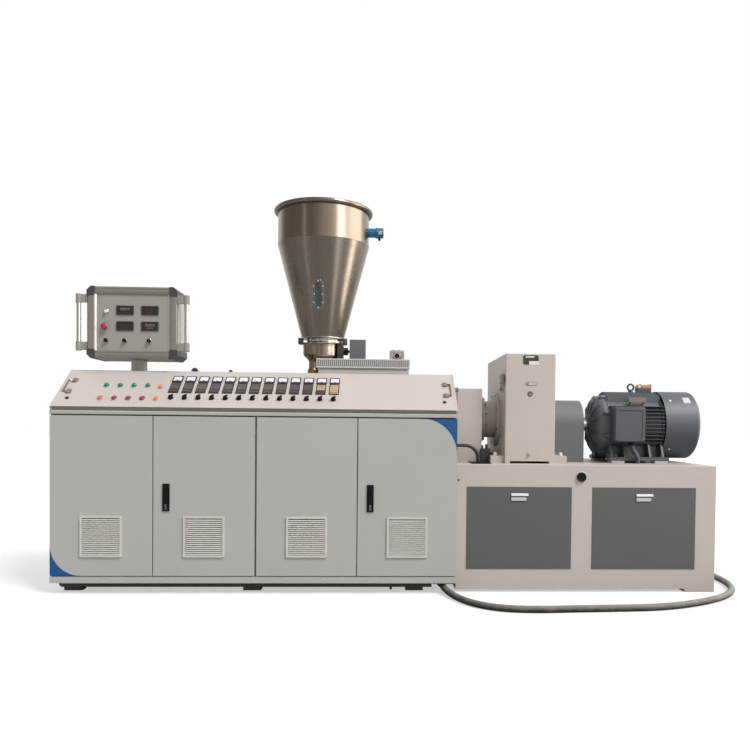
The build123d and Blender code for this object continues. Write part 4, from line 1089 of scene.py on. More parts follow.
# %% Vent fitting
fitting_low, fitting_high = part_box("vent_fitting")
fitting_middle = (fitting_low + fitting_high) / 2
port_z = fitting_high.z - 0.0375
place = front_face((fitting_middle.x, fitting_low.y, port_z))
fitting_top = top_face((fitting_middle.x, fitting_middle.y, fitting_high.z))
bm = bmesh.new()
add_frame(bm, place, ring_of(26), ring_of(17.2), -1, 5)
bore = ring_of(27, count=28, start=math.pi / 28)
add_frame(bm, place, rounded(104, 78, 8, steps=6), bore, -3, 2.5)
for side in (-1, 1):
    for b in (-27, 27):
        add_hex(bm, place, side * 38, b, 9, 2.5, 8)
    add_hex(bm, fitting_top, side * 22.8, 0, 16, -1, 11)
piece("vent_fitting_face", bm, cast_finish, 0.001)
# A black disc deep in the bore is painted shade for the inside of the port.
bm = bmesh.new()
add_plate(bm, place, ring_of(16.9), -17.5, -12)
piece("vent_fitting_port_painted_shade", bm, soft_black)

# %% [markdown]
# ## Control box
# The box on the post is a kit: four extruded aluminium profiles, moulded corner pieces, a sheet
# panel and tube handles on brackets. Each profile has grooves along it, because it is extruded. The
# corner pieces are cut off at 45 degrees outside.

# %% Control box frame
box_low, box_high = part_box("control_box_frame")
corner_across, corner_up, corner_cut = 54.0, 62.0, 27.0
profile_width = 52.0
box_width = (box_high.x - box_low.x) / MM
box_height = (box_high.z - box_low.z) / MM
box_depth = (box_high.y - box_low.y) / MM
box_middle = Vector(((box_low.x + box_high.x) / 2, box_low.y, (box_low.z + box_high.z) / 2))
grooves = (14.0, 38.0)


def profile_section(width, depth):
    """Half of a profile's section: outside to inside along a, front to back along b."""
    points = [(0, -depth), (0, -24), (2.4, -23), (2.4, -19), (0, -18), (0, -12)]
    for turn in map(math.radians, (22, 45, 68, 90)):
        points.append((12 - 12 * math.cos(turn), -12 + 12 * math.sin(turn)))
    for groove in grooves:
        points += [(groove, 0), (groove + 0.6, -2.2), (groove + 3.0, -2.2), (groove + 3.6, 0)]
    points += [(width - 7, 0), (width, -7), (width, -depth)]
    return points


def add_profile(bm, place, width, depth, half):
    """A length of profile on a face: its outside edge lies on b = 0 and its length runs along a."""
    section = profile_section(width, depth)
    ends = []
    for end in (-half, half):
        ends.append([place @ Vector((end * MM, -b * MM, out * MM)) for b, out in section])
    add_between(bm, *ends)


bm = bmesh.new()
sides = (
    (0, box_height / 2, box_width / 2 - corner_across, (1, 0, 0), (0, 0, 1)),
    (0, -box_height / 2, box_width / 2 - corner_across, (-1, 0, 0), (0, 0, -1)),
    (-box_width / 2, 0, box_height / 2 - corner_up, (0, 0, 1), (-1, 0, 0)),
    (box_width / 2, 0, box_height / 2 - corner_up, (0, 0, -1), (1, 0, 0)),
)
for a, b, half, right, up in sides:
    origin = box_middle + Vector((a * MM, 0, b * MM))
    add_profile(bm, face_matrix(right, up, origin), profile_width, box_depth, half)
piece(
    "control_box_profiles", bm, profile_aluminium, 0.0004,
    stands_for=["control_box_frame"], angle=30,
)

bm = bmesh.new()
place = front_face(box_middle)
for sa, sb in CORNERS:
    a0, b0 = sa * (box_width / 2 + 1), sb * (box_height / 2 + 1)
    a1, b1 = sa * (box_width / 2 - corner_across), sb * (box_height / 2 - corner_up)
    a2, b2 = sa * (box_width / 2 - profile_width), sb * (box_height / 2 - profile_width)
    outline = [(a1, b0), (a0 - sa * corner_cut, b0), (a0, b0 - sb * corner_cut), (a0, b1)]
    outline += [(a2, b1), (a2, b2), (a1, b2)]
    add_plate(bm, place, outline, -box_depth - 1.5, 1.5)
piece("control_box_corners", bm, corner_plastic, 0.005, angle=30, steps=3)

# A thin lip on the inner edge of each side profile catches the light. Its metal is paler than the
# profiles, which adds a painted highlight.
trim_painted_highlight = metal("bright_trim_painted_highlight", linear(206, 203, 197), 0.3, stain=0.04, metallic=0.2)
bm = bmesh.new()
window_half = (box_height / 2 - profile_width) * MM
for side in (-1, 1):
    x, y = box_middle.x + side * (box_width / 2 - profile_width) * MM, box_low.y
    lip = [(x, y - 0.0004), (x - side * 0.011, y + 0.0092), (x, y + 0.0092)]
    add_prism(bm, lip, box_middle.z - window_half, box_middle.z + window_half, "xy")
piece("control_box_highlight_trim", bm, trim_painted_highlight)
# The side sheets take a paint much paler than the front panel: their lighter tone is painted light.
bm = bmesh.new()
for place in (
    left_face((box_low.x, box_low.y, box_middle.z)),
    right_face((box_high.x, box_low.y, box_middle.z)),
):
    middle = (box_depth / 2 + 6) * place[1][0]
    sheet = rounded(box_depth - 36, box_height - 2 * corner_up - 4, 3, middle)
    add_plate(bm, place, sheet, -1, 1.2)
piece("control_box_painted_light_sides", bm, pale_paint_and_painted_light, 0.0004)
print("control box", [round(v) for v in (box_width, box_height, box_depth)], "mm")

# %% [markdown]
# ## Control box fittings
# The panel has four numeric displays behind smoked windows, a white push button, a red mushroom
# head and three knobs. The displays are off or dim, so their seven-bar digits only just show.

# %% Displays
smoked = plastic("smoked_window", linear(40, 30, 30), 0.16, mottle=0.25, coat=0.5)
dim_digit = plastic("dim_digit_bars", linear(96, 62, 62), 0.4)
pale_digit = plastic("pale_digit_bars", linear(190, 158, 156), 0.4)
panel_y = box_low.y + 0.010
display_middles = [(247, 319), (409, 319), (247, 215), (409, 215)]


def panel_at(across, up):
    """A place on the panel from the box's lower left corner, in millimetres."""
    return front_face((box_low.x + across * MM, panel_y, box_low.z + up * MM))


def add_digit(bm, place, a, b, width, height, base, top):
    """A seven-bar digit with all of its bars."""
    w, h, t = width / 2, height / 2, width * 0.16
    bars = [(0, way * h, width - t, t) for way in (1, 0, -1)]
    bars += [(a_way * w, b_way * h / 2, t, h - t) for a_way, b_way in CORNERS]
    for da, db, size_a, size_b in bars:
        add_plate(bm, place, rounded(size_a, size_b, t * 0.45, a + da, b + db, 2), base, top)


def add_number(bm, place, a, b, height, count, base, top):
    """A row of seven-bar digits about a middle point."""
    for digit in range(count):
        middle = a + (digit - (count - 1) / 2) * height * 0.95
        add_digit(bm, place, middle, b, height * 0.5, height * 0.8, base, top)


upper_lit, lower_lit = (0, 3), (3,)
frames, windows, dim, lit = (bmesh.new() for _ in range(4))
for number, (across, up) in enumerate(display_middles):
    place = panel_at(across, up)
    add_frame(frames, place, rounded(112, 60, 3), rounded(98, 46, 2), -0.3, 6.5)
    add_plate(windows, place, rounded(98.6, 46.6, 2), -0.3, 4.0)
    add_number(lit if number in upper_lit else dim, place, 0, 8, 17, 4, 3.9, 4.25)
    add_number(lit if number in lower_lit else dim, place, 0, -12, 10, 4, 3.9, 4.25)
piece(
    "display_frames", frames, soft_black, 0.0008, stands_for=["control_box_fittings"]
)
piece("display_windows", windows, smoked)
piece("display_dim_digits", dim, dim_digit)
piece("display_lit_digits", lit, pale_digit)
print("displays:", len(display_middles))

# %% Buttons and knobs of the panel
rings, caps, black, red = (bmesh.new() for _ in range(4))
white_place = panel_at(124, 308)
add_knob(rings, white_place, [(14, 0), (17, 0), (17, 3), (14, 6), (12.5, 6), (12.5, 0)])
add_knob(caps, white_place, [(0, 21), (5, 20.4), (9, 18), (12, 13), (12.2, 5), (0, 5)])
red_place = panel_at(117, 210)
add_knob(rings, red_place, [(14, 0), (19, 0), (19, 3), (17, 5), (14, 5)])
mushroom = [
    (0, 30), (10, 29), (18, 26.5), (22.5, 22), (23, 18.5), (19, 15), (11, 13.5), (11, 4), (0, 4),
]
add_knob(red, red_place, mushroom)
for across in (124, 246, 405):
    place = panel_at(across, 118)
    add_knob(rings, place, [(12, 0), (17.5, 0), (17.5, 7), (15.5, 9.5), (12, 9.5), (12, 0)])
    add_knob(black, place, [(0, 22), (9, 22), (11, 20), (12, 9), (12, 0), (0, 0)])
    turned_place = place @ Matrix.Rotation(0.5, 4, "Z")
    add_plate(black, turned_place, rounded(6, 22, 2.5, 0, 2), 18, 27)
piece("panel_button_rings", rings, bright_steel, 0.0005, angle=45)
piece("panel_white_button", caps, white_cap, angle=60)
piece("panel_black_knobs", black, black_plastic, 0.0008, angle=40)
piece("panel_stop_button", red, stop_cap, angle=50)

# %% [markdown]
# The tube handles are short lengths of aluminium tube held in moulded sleeves. Every sleeve has a
# foot that is screwed to the box's side.

# %% Tube handles
tube_bright = metal(
    "handle_tube_aluminium", linear(226, 220, 210), 0.3, (900, 900, 6), 0.03, stain=0.06
)
bracket_grey = plastic("handle_bracket_grey", linear(146, 142, 135), 0.45)
tube_y = box_low.y + 0.018
tube_half = 0.1835
tube_radius = 0.0145
tube_out = 0.057
sleeve_length = 0.061
sleeve_over = 0.004
tubes, brackets = bmesh.new(), bmesh.new()


def add_foot(bm, first_x, second_x, half_y, low_z, high_z):
    """A block of a handle's bracket, whose two x values may come in either order."""
    low_x, high_x = sorted((first_x, second_x))
    add_block(bm, (low_x, tube_y - half_y, low_z), (high_x, tube_y + half_y, high_z))


for side, edge_x in ((-1, box_low.x), (1, box_high.x)):
    tube_x = edge_x + side * tube_out
    start = (tube_x, tube_y, box_middle.z - tube_half + sleeve_over)
    end = (tube_x, tube_y, box_middle.z + tube_half - sleeve_over)
    add_rod(tubes, start, end, tube_radius, 40)
    for way in (-1, 1):
        outer = box_middle.z + way * (tube_half + sleeve_over)
        inner = outer - way * sleeve_length
        thin, thick = tube_radius + 0.003, tube_radius + 0.0045
        sleeve = [(0.002, outer), (thin, outer), (thick, outer - way * 0.003)]
        sleeve += [(thick, inner + way * 0.002), (thin, inner), (tube_radius, inner)]
        add_turned(brackets, sleeve, Matrix.Translation((tube_x, tube_y, 0)), 40)
        low_z, high_z = sorted((outer - way * sleeve_over, inner + way * sleeve_over))
        add_foot(brackets, edge_x, tube_x, 0.011, low_z, high_z)
        add_foot(brackets, edge_x, edge_x + side * 0.006, 0.020, low_z - 0.002, high_z + 0.002)
piece("handle_tubes", tubes, tube_bright, angle=50, stands_for=["control_box_handles"])
piece("handle_brackets", brackets, bracket_grey, 0.002, angle=40)

# %% Post
post_low, post_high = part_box("control_post")
fold_inset, fold_back = 0.075, 0.023
bm = bmesh.new()
place = front_face((post_low.x + fold_inset, post_low.y + fold_back, 0))
fold_low, fold_high = post_low.z / MM + 10, post_high.z / MM
fold = [(-40, fold_low), (-11, fold_low), (-11, fold_high), (-40, fold_high)]
add_plate(bm, place, fold, -0.5, 5)
piece("post_front_fold", bm, post_paint, 0.001)
print("control box dressed")

# %% [markdown]
# ## Door louvres
# A plastic filter louvre sits in every door: a moulded frame, thin slanted blades and a dark filter
# mat behind them. The blades slope down towards the front so that dripping water stays out.

# %% Louvres
vent_size = 255.0
vent_bottom = 236.0
blade_count = 18
border = 11.0
opening = vent_size - 2 * border
filter_mat = plastic(
    "dark_filter_mat", linear(60, 56, 52), 0.9, mottle=0.2, grain=0.003, depth=0.6
)
blade_pitch = (opening - 4) / blade_count
blade_section = [
    (-8.6, 0), (-9.4, 1.2), (-8.8, 2.6), (-5.0, 7.0), (3.0, 11.0), (3.0, 9.4), (-4.2, 5.0),
]
blade_half = (opening / 2 + 3.5) * MM
for number in range(1, 5):
    body = f"door_{number}"
    door_low, door_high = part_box(body)
    middle = (door_low.x + door_high.x) / 2
    place = front_face((middle, front, (vent_bottom + vent_size / 2) * MM))
    bm = bmesh.new()
    outer, inner = vent_size + 3, opening
    add_frame(bm, place, rounded(outer, outer, 5), rounded(inner, inner, 1.5), -0.2, 9.0)
    for blade in range(blade_count):
        z = vent_bottom + border + 2 + blade * blade_pitch
        points = [(front + y * MM, (z + up) * MM) for y, up in blade_section]
        add_prism(bm, points, middle - blade_half, middle + blade_half, "yz")
    for b in (-1, 1):
        add_plate(bm, place, rounded(24, 4, 1.5, 0, b * (vent_size / 2 - 5)), 8.8, 10.4)
    piece(f"door_{number}_louvre", bm, grille_plastic, 0.0004, body=body)
    bm = bmesh.new()
    add_plate(bm, place, rounded(opening - 0.2, opening - 0.2, 1.5), -7.9, -5.5)
    piece(f"door_{number}_filter_mat", bm, filter_mat, body=body)
print("louvre blades:", blade_count, "to a door")

# %% [markdown]
# ## Latches
# Doors 2 and 4 close with a swing latch: a black dish, a grip that lies in it and a small key lock
# below the grip.

# %% Latches
lock_grey = metal("lock_barrel", linear(150, 148, 144), 0.35, stain=0.1)
for number in (2, 4):
    body = f"door_{number}"
    latch_low, latch_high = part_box(f"door_{number}_latch")
    latch_middle = (latch_low + latch_high) / 2
    place = front_face((latch_middle.x, front, latch_middle.z))
    bm = bmesh.new()
    add_frame(bm, place, rounded(43, 172, 6), rounded(36, 165, 3.5), 5.8, 8.2)
    add_plate(bm, place, rounded(21, 106, 8, 0, 12), 13.8, 16.5)
    add_plate(bm, place, rounded(15, 16, 5, 0, 52), 16.2, 18.0)
    grip_name, lock_name = f"door_{number}_latch_grip", f"door_{number}_latch_lock"
    piece(grip_name, bm, black_plastic, 0.0015, body=body)
    bm = bmesh.new()
    add_knob(bm, place, [(0, 10.5), (7, 10.5), (8.5, 9), (8.5, 5.8), (0, 5.8)], 0, -68)
    add_plate(bm, place, rounded(13, 15, 3, 0, -50), 13.8, 15.2)
    piece(lock_name, bm, lock_grey, 0.0005, angle=45, body=body)

# %% [markdown]
# ## Instruments on the desk
# Thirteen heating zones each have an ammeter, a temperature controller and a selector knob, one
# above the other on the slope. The desk's slope is a face of its own, so they are drawn on it with
# a running across the desk and b up the slope.

# %% Desk face
desk_rise, desk_run = 0.250, 0.330
desk_place = face_matrix((1, 0, 0), (0, desk_run, desk_rise), spot(0, 0, 1175))
zone_count = 13
zone_start, zone_pitch = 722.0, 85.9
zones = [zone_start + zone_pitch * number for number in range(zone_count)]
meter_up, controller_up, selector_up = 314.0, 215.5, 100.0
meter_face = plastic("meter_face", linear(226, 222, 236), 0.3, mottle=0.03, coat=0.4)
meter_ink = plastic("meter_scale_ink", linear(120, 112, 134), 0.5)
controller_face = plastic("controller_window", linear(88, 83, 84), 0.22, mottle=0.12, coat=0.3)
controller_band = plastic("controller_band", linear(62, 57, 57), 0.35, mottle=0.2)
tan_face = plastic("tan_protective_film", linear(176, 156, 122), 0.3, mottle=0.1)
instrument_case = plastic("instrument_case", linear(56, 52, 52), 0.42)

tick_count, tick_ring, tick_half = 9, 31, 0.7
cases, faces, ink = bmesh.new(), bmesh.new(), bmesh.new()
for a in zones:
    up = meter_up
    add_plate(cases, desk_place, rounded(68, 68, 4, a, up), -0.2, 3.5)
    add_frame(cases, desk_place, rounded(66, 66, 5, a, up), rounded(53, 45, 3, a, up + 3), 3.3, 6)
    add_plate(faces, desk_place, rounded(54, 46, 3, a, up + 3), 3.2, 4.6)
    for tick in range(tick_count):
        turn = math.radians(140 - tick * 12.5)
        way_a, way_b = math.cos(turn), math.sin(turn)
        reach = 4.5 if tick % 4 == 0 else 2.8
        outline = []
        for radius, side in ((0, 1), (0, -1), (reach, -1), (reach, 1)):
            across_a, across_b = -way_b * tick_half * side, way_a * tick_half * side
            out = tick_ring + radius
            outline.append((a + out * way_a + across_a, up - 16 + out * way_b + across_b))
        add_plate(ink, desk_place, outline, 4.5, 4.9)
    needle = [(a - 0.4, up - 14), (a + 0.4, up - 14), (a - 17, up + 10), (a - 18, up + 10)]
    add_plate(ink, desk_place, needle, 4.5, 5.3)
    add_plate(ink, desk_place, rounded(14, 5, 2, a, up - 15.5), 4.5, 5.6)
piece("meter_cases", cases, instrument_case, 0.0008, stands_for=["meters"])
piece("meter_faces", faces, meter_face, 0.0003)
piece("meter_scales", ink, meter_ink)
print("meters:", len(zones))

# %% Controllers
cases, windows, bands, keys, film = (bmesh.new() for _ in range(5))
for number, a in enumerate(zones):
    up = controller_up
    add_plate(cases, desk_place, rounded(66, 117, 3, a, up), -0.2, 3.5)
    add_frame(cases, desk_place, rounded(62, 113, 4, a, up), rounded(54, 103, 2, a, up), 3.3, 6.5)
    tan = number >= zone_count - 2
    last = number == zone_count - 1
    add_plate(film if tan else windows, desk_place, rounded(53, 62, 2, a, up + 18), 3.3, 5.4)
    add_plate(film if last else bands, desk_place, rounded(53, 34, 2, a, up - 32), 3.3, 4.8)
    for row, height, count in ((32, 15, 3), (10, 11, 3)):
        add_number(bands, desk_place, a, up + row, height, count, 5.3, 5.6)
    for key in range(4):
        add_plate(keys, desk_place, rounded(9, 7, 2, a + (key - 1.5) * 12, up - 36), 4.7, 6.2)
piece("controller_cases", cases, instrument_case, 0.001, stands_for=["controllers"])
piece("controller_windows", windows, controller_face, 0.0004)
piece("controller_bands", bands, controller_band)
piece("controller_keys", keys, plastic("key_caps", linear(104, 100, 98), 0.5), 0.0005)
piece("controller_films", film, tan_face, 0.0004)
print("controllers:", len(zones))

# %% Selector knobs
bm = bmesh.new()
marks = bmesh.new()
knob = [(0, 20), (11, 20), (12.8, 18), (14.2, 5), (17, 4.5), (17, 0), (0, 0)]
knob_turn = Matrix.Rotation(-0.7, 4, "Z")
for a in zones:
    add_knob(bm, desk_place, knob, a, selector_up)
    place = desk_place @ Matrix.Translation((a * MM, selector_up * MM, 0)) @ knob_turn
    add_plate(bm, place, rounded(9, 34, 4, 0, 4), 10, 25)
    add_plate(marks, place, rounded(2.2, 9, 0.9, 0, 15), 24.8, 25.4)
piece(
    "selector_knob_handles", bm, black_plastic, 0.001,
    stands_for=["selector_knobs"],
)
piece("selector_knob_marks", marks, label_white)

# %% Push buttons and lamps
buttons = [286.0 + 87.5 * number for number in range(4)]
lamp_place = buttons[-1] + 88.0
bezels, green, red, pale_red, amber, dark_rims = (bmesh.new() for _ in range(6))
bezel = [(14, 0), (19.5, 0), (19.5, 3), (18, 4.5), (14, 4.5), (14, 0)]
rim = [(13, 0), (16.5, 0), (16.5, 6.5), (15, 7.5), (13.5, 7.5), (13, 0)]
lamp_bezel = [(15, 0), (20, 0), (20, 4), (18, 6), (15, 6), (15, 0)]
green_dome = [(0, 20), (8, 19.5), (12, 18), (14.4, 14.5), (15, 6), (0, 6)]
red_head = [(0, 14), (13, 13.6), (17, 12), (18.5, 9.5), (17.5, 6), (0, 6)]
amber_dome = [(0, 21), (6, 20.2), (11, 18), (15, 13.5), (16.5, 8), (16.5, 3), (0, 3)]
for up, lamp_up, cap in ((230.0, 218.0, green_dome), (88.0, 86.0, red_head)):
    for number, a in enumerate(buttons):
        caps = green if cap is green_dome else pale_red if number == 0 else red
        add_knob(bezels, desk_place, bezel, a, up)
        add_knob(dark_rims, desk_place, rim, a, up)
        add_knob(caps, desk_place, cap, a, up)
    add_knob(bezels, desk_place, lamp_bezel, lamp_place, lamp_up)
    add_knob(amber, desk_place, amber_dome, lamp_place, lamp_up)
piece(
    "button_bezels", bezels, label_white, 0.0004, stands_for=["push_buttons"],
    angle=45,
)
piece("button_rims", dark_rims, soft_black, 0.0004, angle=45)
piece("green_buttons", green, green_cap, angle=50)
piece("red_buttons", red, red_cap, angle=50)
piece("first_red_button", pale_red, pale_red_cap, angle=50)
piece("amber_lamps", amber, amber_cap, angle=50)
print("buttons:", 2 * len(buttons), "lamps: 2")

# %% [markdown]
# ## Desk hardware
# At both ends the desk has a bow handle, by which its lid is lifted, and a lock beside it. Two
# round vent caps look over the crest, and one more sits on the right cheek.

# %% Handle feet, locks and caps
desk_right = 2550.0
bow_low, bow_high = 222.0 - 63.0, 222.0 + 63.0
hinge_grey = plastic("hinge_grey_brown", linear(128, 118, 110), 0.5)
bm = bmesh.new()
lock_up, lock_inset, handle_inset = 88, 80.0, 66.0
for a in (handle_inset, desk_right - handle_inset):
    for b in (bow_low, bow_high):
        add_plate(bm, desk_place, rounded(36, 40, 4, a, b), -0.2, 7)
        add_plate(bm, desk_place, rounded(14, 40, 5, a, b), 6.8, 13)
piece("bow_handle_feet", bm, hinge_grey, 0.0015, angle=45)
bm, dark = bmesh.new(), bmesh.new()
for a in (lock_inset, desk_right - lock_inset):
    add_knob(dark, desk_place, [(0, 6), (9, 6), (11.5, 4.5), (12.5, 0), (0, 0)], a, lock_up)
    add_knob(bm, desk_place, [(0, 8.5), (5.5, 8.5), (6.5, 7.5), (6.5, 5), (0, 5)], a, lock_up)
    add_plate(dark, desk_place, rounded(2, 8, 0.9, a, lock_up), 8.4, 9.0)
cap_ring = plastic("cap_ring_grey", linear(122, 120, 116), 0.45)
rings = bmesh.new()
for across, radius in ((807.0, 24.0), (1047.0, 13.0)):
    place = front_face(spot(across, 351, 1428))
    hole, lip, inside = radius * 0.62, radius * 0.86, radius * 0.66
    ring = [(hole, 3), (lip, 9.5), (radius, 7), (radius + 0.5, 0), (hole, 0)]
    add_knob(rings, place, ring)
    add_knob(dark, place, [(0, 5), (inside, 5), (inside, 1), (0, 1)])
place = right_face(spot(desk_right, 200, 1318))
ring = [(11, 22), (14, 23), (17, 21), (17.5, 18), (14, 15), (14, 0), (11, 0)]
add_knob(rings, place, ring)
add_knob(dark, place, [(0, 19), (11.2, 19), (11.2, 0), (0, 0)])
piece(
    "desk_cap_rings", rings, cap_ring, 0.0006, stands_for=["desk_fittings"],
    angle=40,
)
piece("desk_lock_faces", dark, soft_black, 0.0004, angle=40)
piece("desk_lock_barrels", bm, black_plastic, 0.0004, angle=40)

# These strips paint light and shade on the desk's nose and the header. The nose's slanted face is
# painted shade. Two thin dark lines, under the nose and over the doors, are painted shadow. A thin
# pale line on top of the header is a painted highlight.
nose_painted_shade = paint("nose_strip_painted_shade", linear(115, 118, 110), dust=0.0)
painted_shadow_line = paint("nose_painted_shadow_paint", linear(68, 68, 64), dust=0.0)
painted_highlight_line = paint("header_painted_highlight_paint", linear(214, 210, 204), dust=0.0)
nose_span = (left + 0.012, left + 2.538)
strips = (
    (
        "desk_nose_painted_shade_strip", nose_painted_shade,
        [(-1.2, 1175.6), (0.4, 1176.2), (14.6, 1150.6), (12.6, 1150.4)],
    ),
    ("desk_nose_painted_shadow", painted_shadow_line, [(10.6, 1153.4), (12.4, 1154.0), (14.6, 1150.2), (12.2, 1149.8)]),
    ("header_painted_highlight", painted_highlight_line, [(-1.4, 1146.0), (-1.4, 1150.6), (10, 1150.6), (10, 1146.0)]),
    ("header_painted_shadow", painted_shadow_line, [(-1.2, 1125.6), (-1.2, 1129.0), (2, 1129.0), (2, 1125.6)]),
)
for name, finish, outline in strips:
    bm = bmesh.new()
    add_prism(bm, [(front + y * MM, z * MM) for y, z in outline], *nose_span, "yz")
    piece(name, bm, finish, 0.0003)
print("desk hardware made")

# %% [markdown]
# ## Gearbox
# The gearbox is a box welded from thick plate. Its front has a blank rating plate, a slot for the
# oil level, a screwed plug and a bolt near the floor of the case. On its left face a bearing cover
# and the neck's flange are bolted on, and its feet are held down by capped bolts.

# %% Gearbox front
gear_left, gear_right, gear_top = left + 2.890, left + 3.227, 1.565
gear_face = 205
bed_top = 0.831
gear_middle = (gear_left + gear_right) / 2
# This dark metal is the rating plate's print, and also painted shadow round the oil slot and the
# plug.
print_and_painted_shadow = metal("rating_plate_print_and_painted_shadow", linear(62, 60, 58), 0.45, stain=0.3, metallic=0.5)
plate_light = metal("rating_plate_light", linear(216, 213, 208), 0.4, stain=0.06, metallic=0.3)
place = front_face(spot(3057.5, gear_face, 1523))
bm, dark = bmesh.new(), bmesh.new()
add_plate(bm, place, rounded(110, 66, 3), -0.3, 1.0)
add_plate(dark, place, rounded(107, 39, 2, 0, 12), 0.8, 1.5)
add_plate(dark, place, rounded(42, 24, 2, -32, -20), 0.8, 1.5)
add_plate(bm, place, rounded(58, 9, 1.5, -6, 20), 1.3, 1.8)
add_corner_knobs(bm, place, 50, 28, [(0, 3.2), (2, 3.0), (3, 1.6), (0, 1.4)], 16)
piece("gearbox_blank_plate", bm, plate_light, 0.0003)
piece("gearbox_plate_fields", dark, print_and_painted_shadow, 0.0002)

bm, dark, side_dark = bmesh.new(), bmesh.new(), bmesh.new()
for low, high in (((2860, 225, 1365), (2882, 280, 1425)), ((2878, 235, 1375), (2892, 270, 1415))):
    add_block(side_dark, spot(*low), spot(*high))
# The thin dark frame round the oil slot and the dark ring round the plug are painted shadow. A
# small dark ring sits at the slot's left end.
place = front_face(spot(3064, gear_face, 1364.5))
add_frame(dark, place, rounded(79, 24, 11.9, steps=8), rounded(76, 21, 10.4, steps=8), -0.3, 2.4)
add_plate(bm, place, rounded(76.4, 21.4, 10.6, steps=8), -0.2, 1.6)
add_knob(dark, place, [(4.5, 1), (7.4, 1), (7.4, 3), (4.5, 3), (4.5, 1)], -27, 0, 24)
place = front_face(spot(3056, gear_face, 1297))
add_knob(dark, place, [(14, 0), (18, 0), (18, 2), (14, 2.6), (14, 0)], steps=32)
plug = [(0, 4), (8, 4), (10, 6), (13.5, 6), (14.5, 4), (14.5, 0), (0, 0)]
add_knob(side_dark, place, plug)
place = front_face(spot(3055, gear_face, 897))
add_stud(bm, place, 0, 0, 8.0, -0.5, 18, steps=20)
add_hex(bm, place, 0, 0, 21, 0, 11)
piece("gearbox_oil_sight", bm, machine_paint, 0.0006)
piece("gearbox_sight_painted_shadow", dark, print_and_painted_shadow, 0.0003)
plug_paint = paint("plug_grey_paint", linear(118, 110, 104))
piece("gearbox_plug_and_tab", side_dark, plug_paint, 0.0008)
valve = bmesh.new()
add_block(valve, spot(2742, 300, 831), spot(2808, 380, 925))
for across, top in ((2758, 948), (2786, 955)):
    add_rod(valve, spot(across, 340, 920), spot(across, 340, top), 0.009, 20)
piece("lubrication_block", valve, bracket_paint, 0.002)

# %% Gearbox side covers and bolts
axis_z, neck_z = 1.100, 1.128
axis_y = front + 0.600
bm, bolts = bmesh.new(), bmesh.new()
place = left_face((gear_left, axis_y, neck_z))
flange = [
    (120, 0), (190, 0), (190, 12), (186, 16), (172, 16), (168, 20), (120, 20), (120, 0),
]
add_knob(bm, place, flange, steps=72)
add_bolt_circle(bolts, place, 179, 8, 12, 15, 22)
cover = left_face((gear_left, front + 0.330, 1.378))
dish = [(0, 20), (40, 20), (44, 16), (44, 9), (66, 9), (68, 6), (68, 0), (0, 0)]
add_knob(bm, cover, dish, steps=48)
add_bolt_circle(bolts, cover, 56, 6, 12, 9, 17, start=0.0)
for place in (
    right_face((left + 2.792, axis_y, neck_z)),
    left_face((left + 2.764, axis_y, neck_z)),
):
    add_bolt_circle(bolts, place, 145, 12, 18, -0.5, 11)
piece("gearbox_side_covers", bm, machine_paint, 0.0015, angle=30)
piece("gearbox_side_bolts", bolts, brown_steel, 0.0006)
bm, rear = bmesh.new(), bmesh.new()
foot_top = bed_top + 0.050
front_bolt = 0.265
foot_cap = [(0, 24), (8, 23), (12, 20), (13, 14), (13, 3), (17, 3), (17, 0), (0, 0)]
for x in (gear_left - 0.055, gear_right + 0.055):
    for back in (front_bolt, 0.420, 0.770, 0.925):
        place = top_face((x, front + back, foot_top))
        if back == front_bolt:
            add_knob(bm, place, foot_cap, steps=24)
        else:
            add_hex(rear, place, 0, 0, 24, 0, 15)
bolt_cap = plastic("pale_bolt_cap", linear(212, 204, 194), 0.45)
piece("gearbox_foot_caps", bm, bolt_cap, 0.0012, angle=35)
piece("gearbox_foot_bolts", rear, brown_steel, 0.0008)
bm = bmesh.new()
lid_place = top_face((gear_middle, front + 0.595, gear_top))
for a in (-140, 140):
    for b in (-355, -180, 0, 180, 355):
        add_knob(bm, lid_place, [(0, 1.4), (8, 1.2), (9, 0), (0, 0)], a, b, 20)
breather = [(0, 40), (16, 40), (19, 37), (19, 24), (12, 22), (12, 0), (0, 0)]
add_knob(bm, lid_place, breather, 0, 200)
piece("gearbox_lid_bolts", bm, machine_paint, 0.0008)
print("gearbox dressed")

# %% [markdown]
# ## Motor
# An induction motor has a cast frame with fins all round: level ones on the sides and upright ones
# above and below, so that its outline is round but its top looks like a flat side. A dished shield
# with ribs closes the shaft end, and a sheet cowl covers the fan at the other. The cast feet are
# joined to the frame by slanted ribs.

# %% Motor frame and fins
motor_start, motor_end = left + 3.612, left + 4.050
core_radius = 0.206
fin_radius = 0.236
fin_pitch = 0.0255
root_half, tip_half = 0.0034, 0.0022
fin_spread = 0.150
bm = bmesh.new()
core = [(0.0, motor_start + 0.045), (core_radius, motor_start + 0.045)]
core += [(core_radius, motor_end - 0.02), (core_radius + 0.012, motor_end - 0.012)]
core += [(core_radius + 0.012, motor_end), (0.0, motor_end)]
on_axis = Matrix.Translation((0, axis_y, axis_z))
lengthwise = on_axis @ Matrix.Rotation(math.pi / 2, 4, "Y")


def lengthwise_profile(pairs):
    """A profile for a form turned about the machine's long axis: (radius, x) pairs."""
    return [(max(radius, 0.0005), x) for radius, x in pairs]


def turned_about_axis(turn):
    """The motor's own axes, turned about its shaft."""
    return on_axis @ Matrix.Rotation(turn, 4, "X")


add_turned(bm, lengthwise_profile(core), lengthwise, 96)
fin_start, fin_end = motor_start + 0.055, motor_end - 0.004


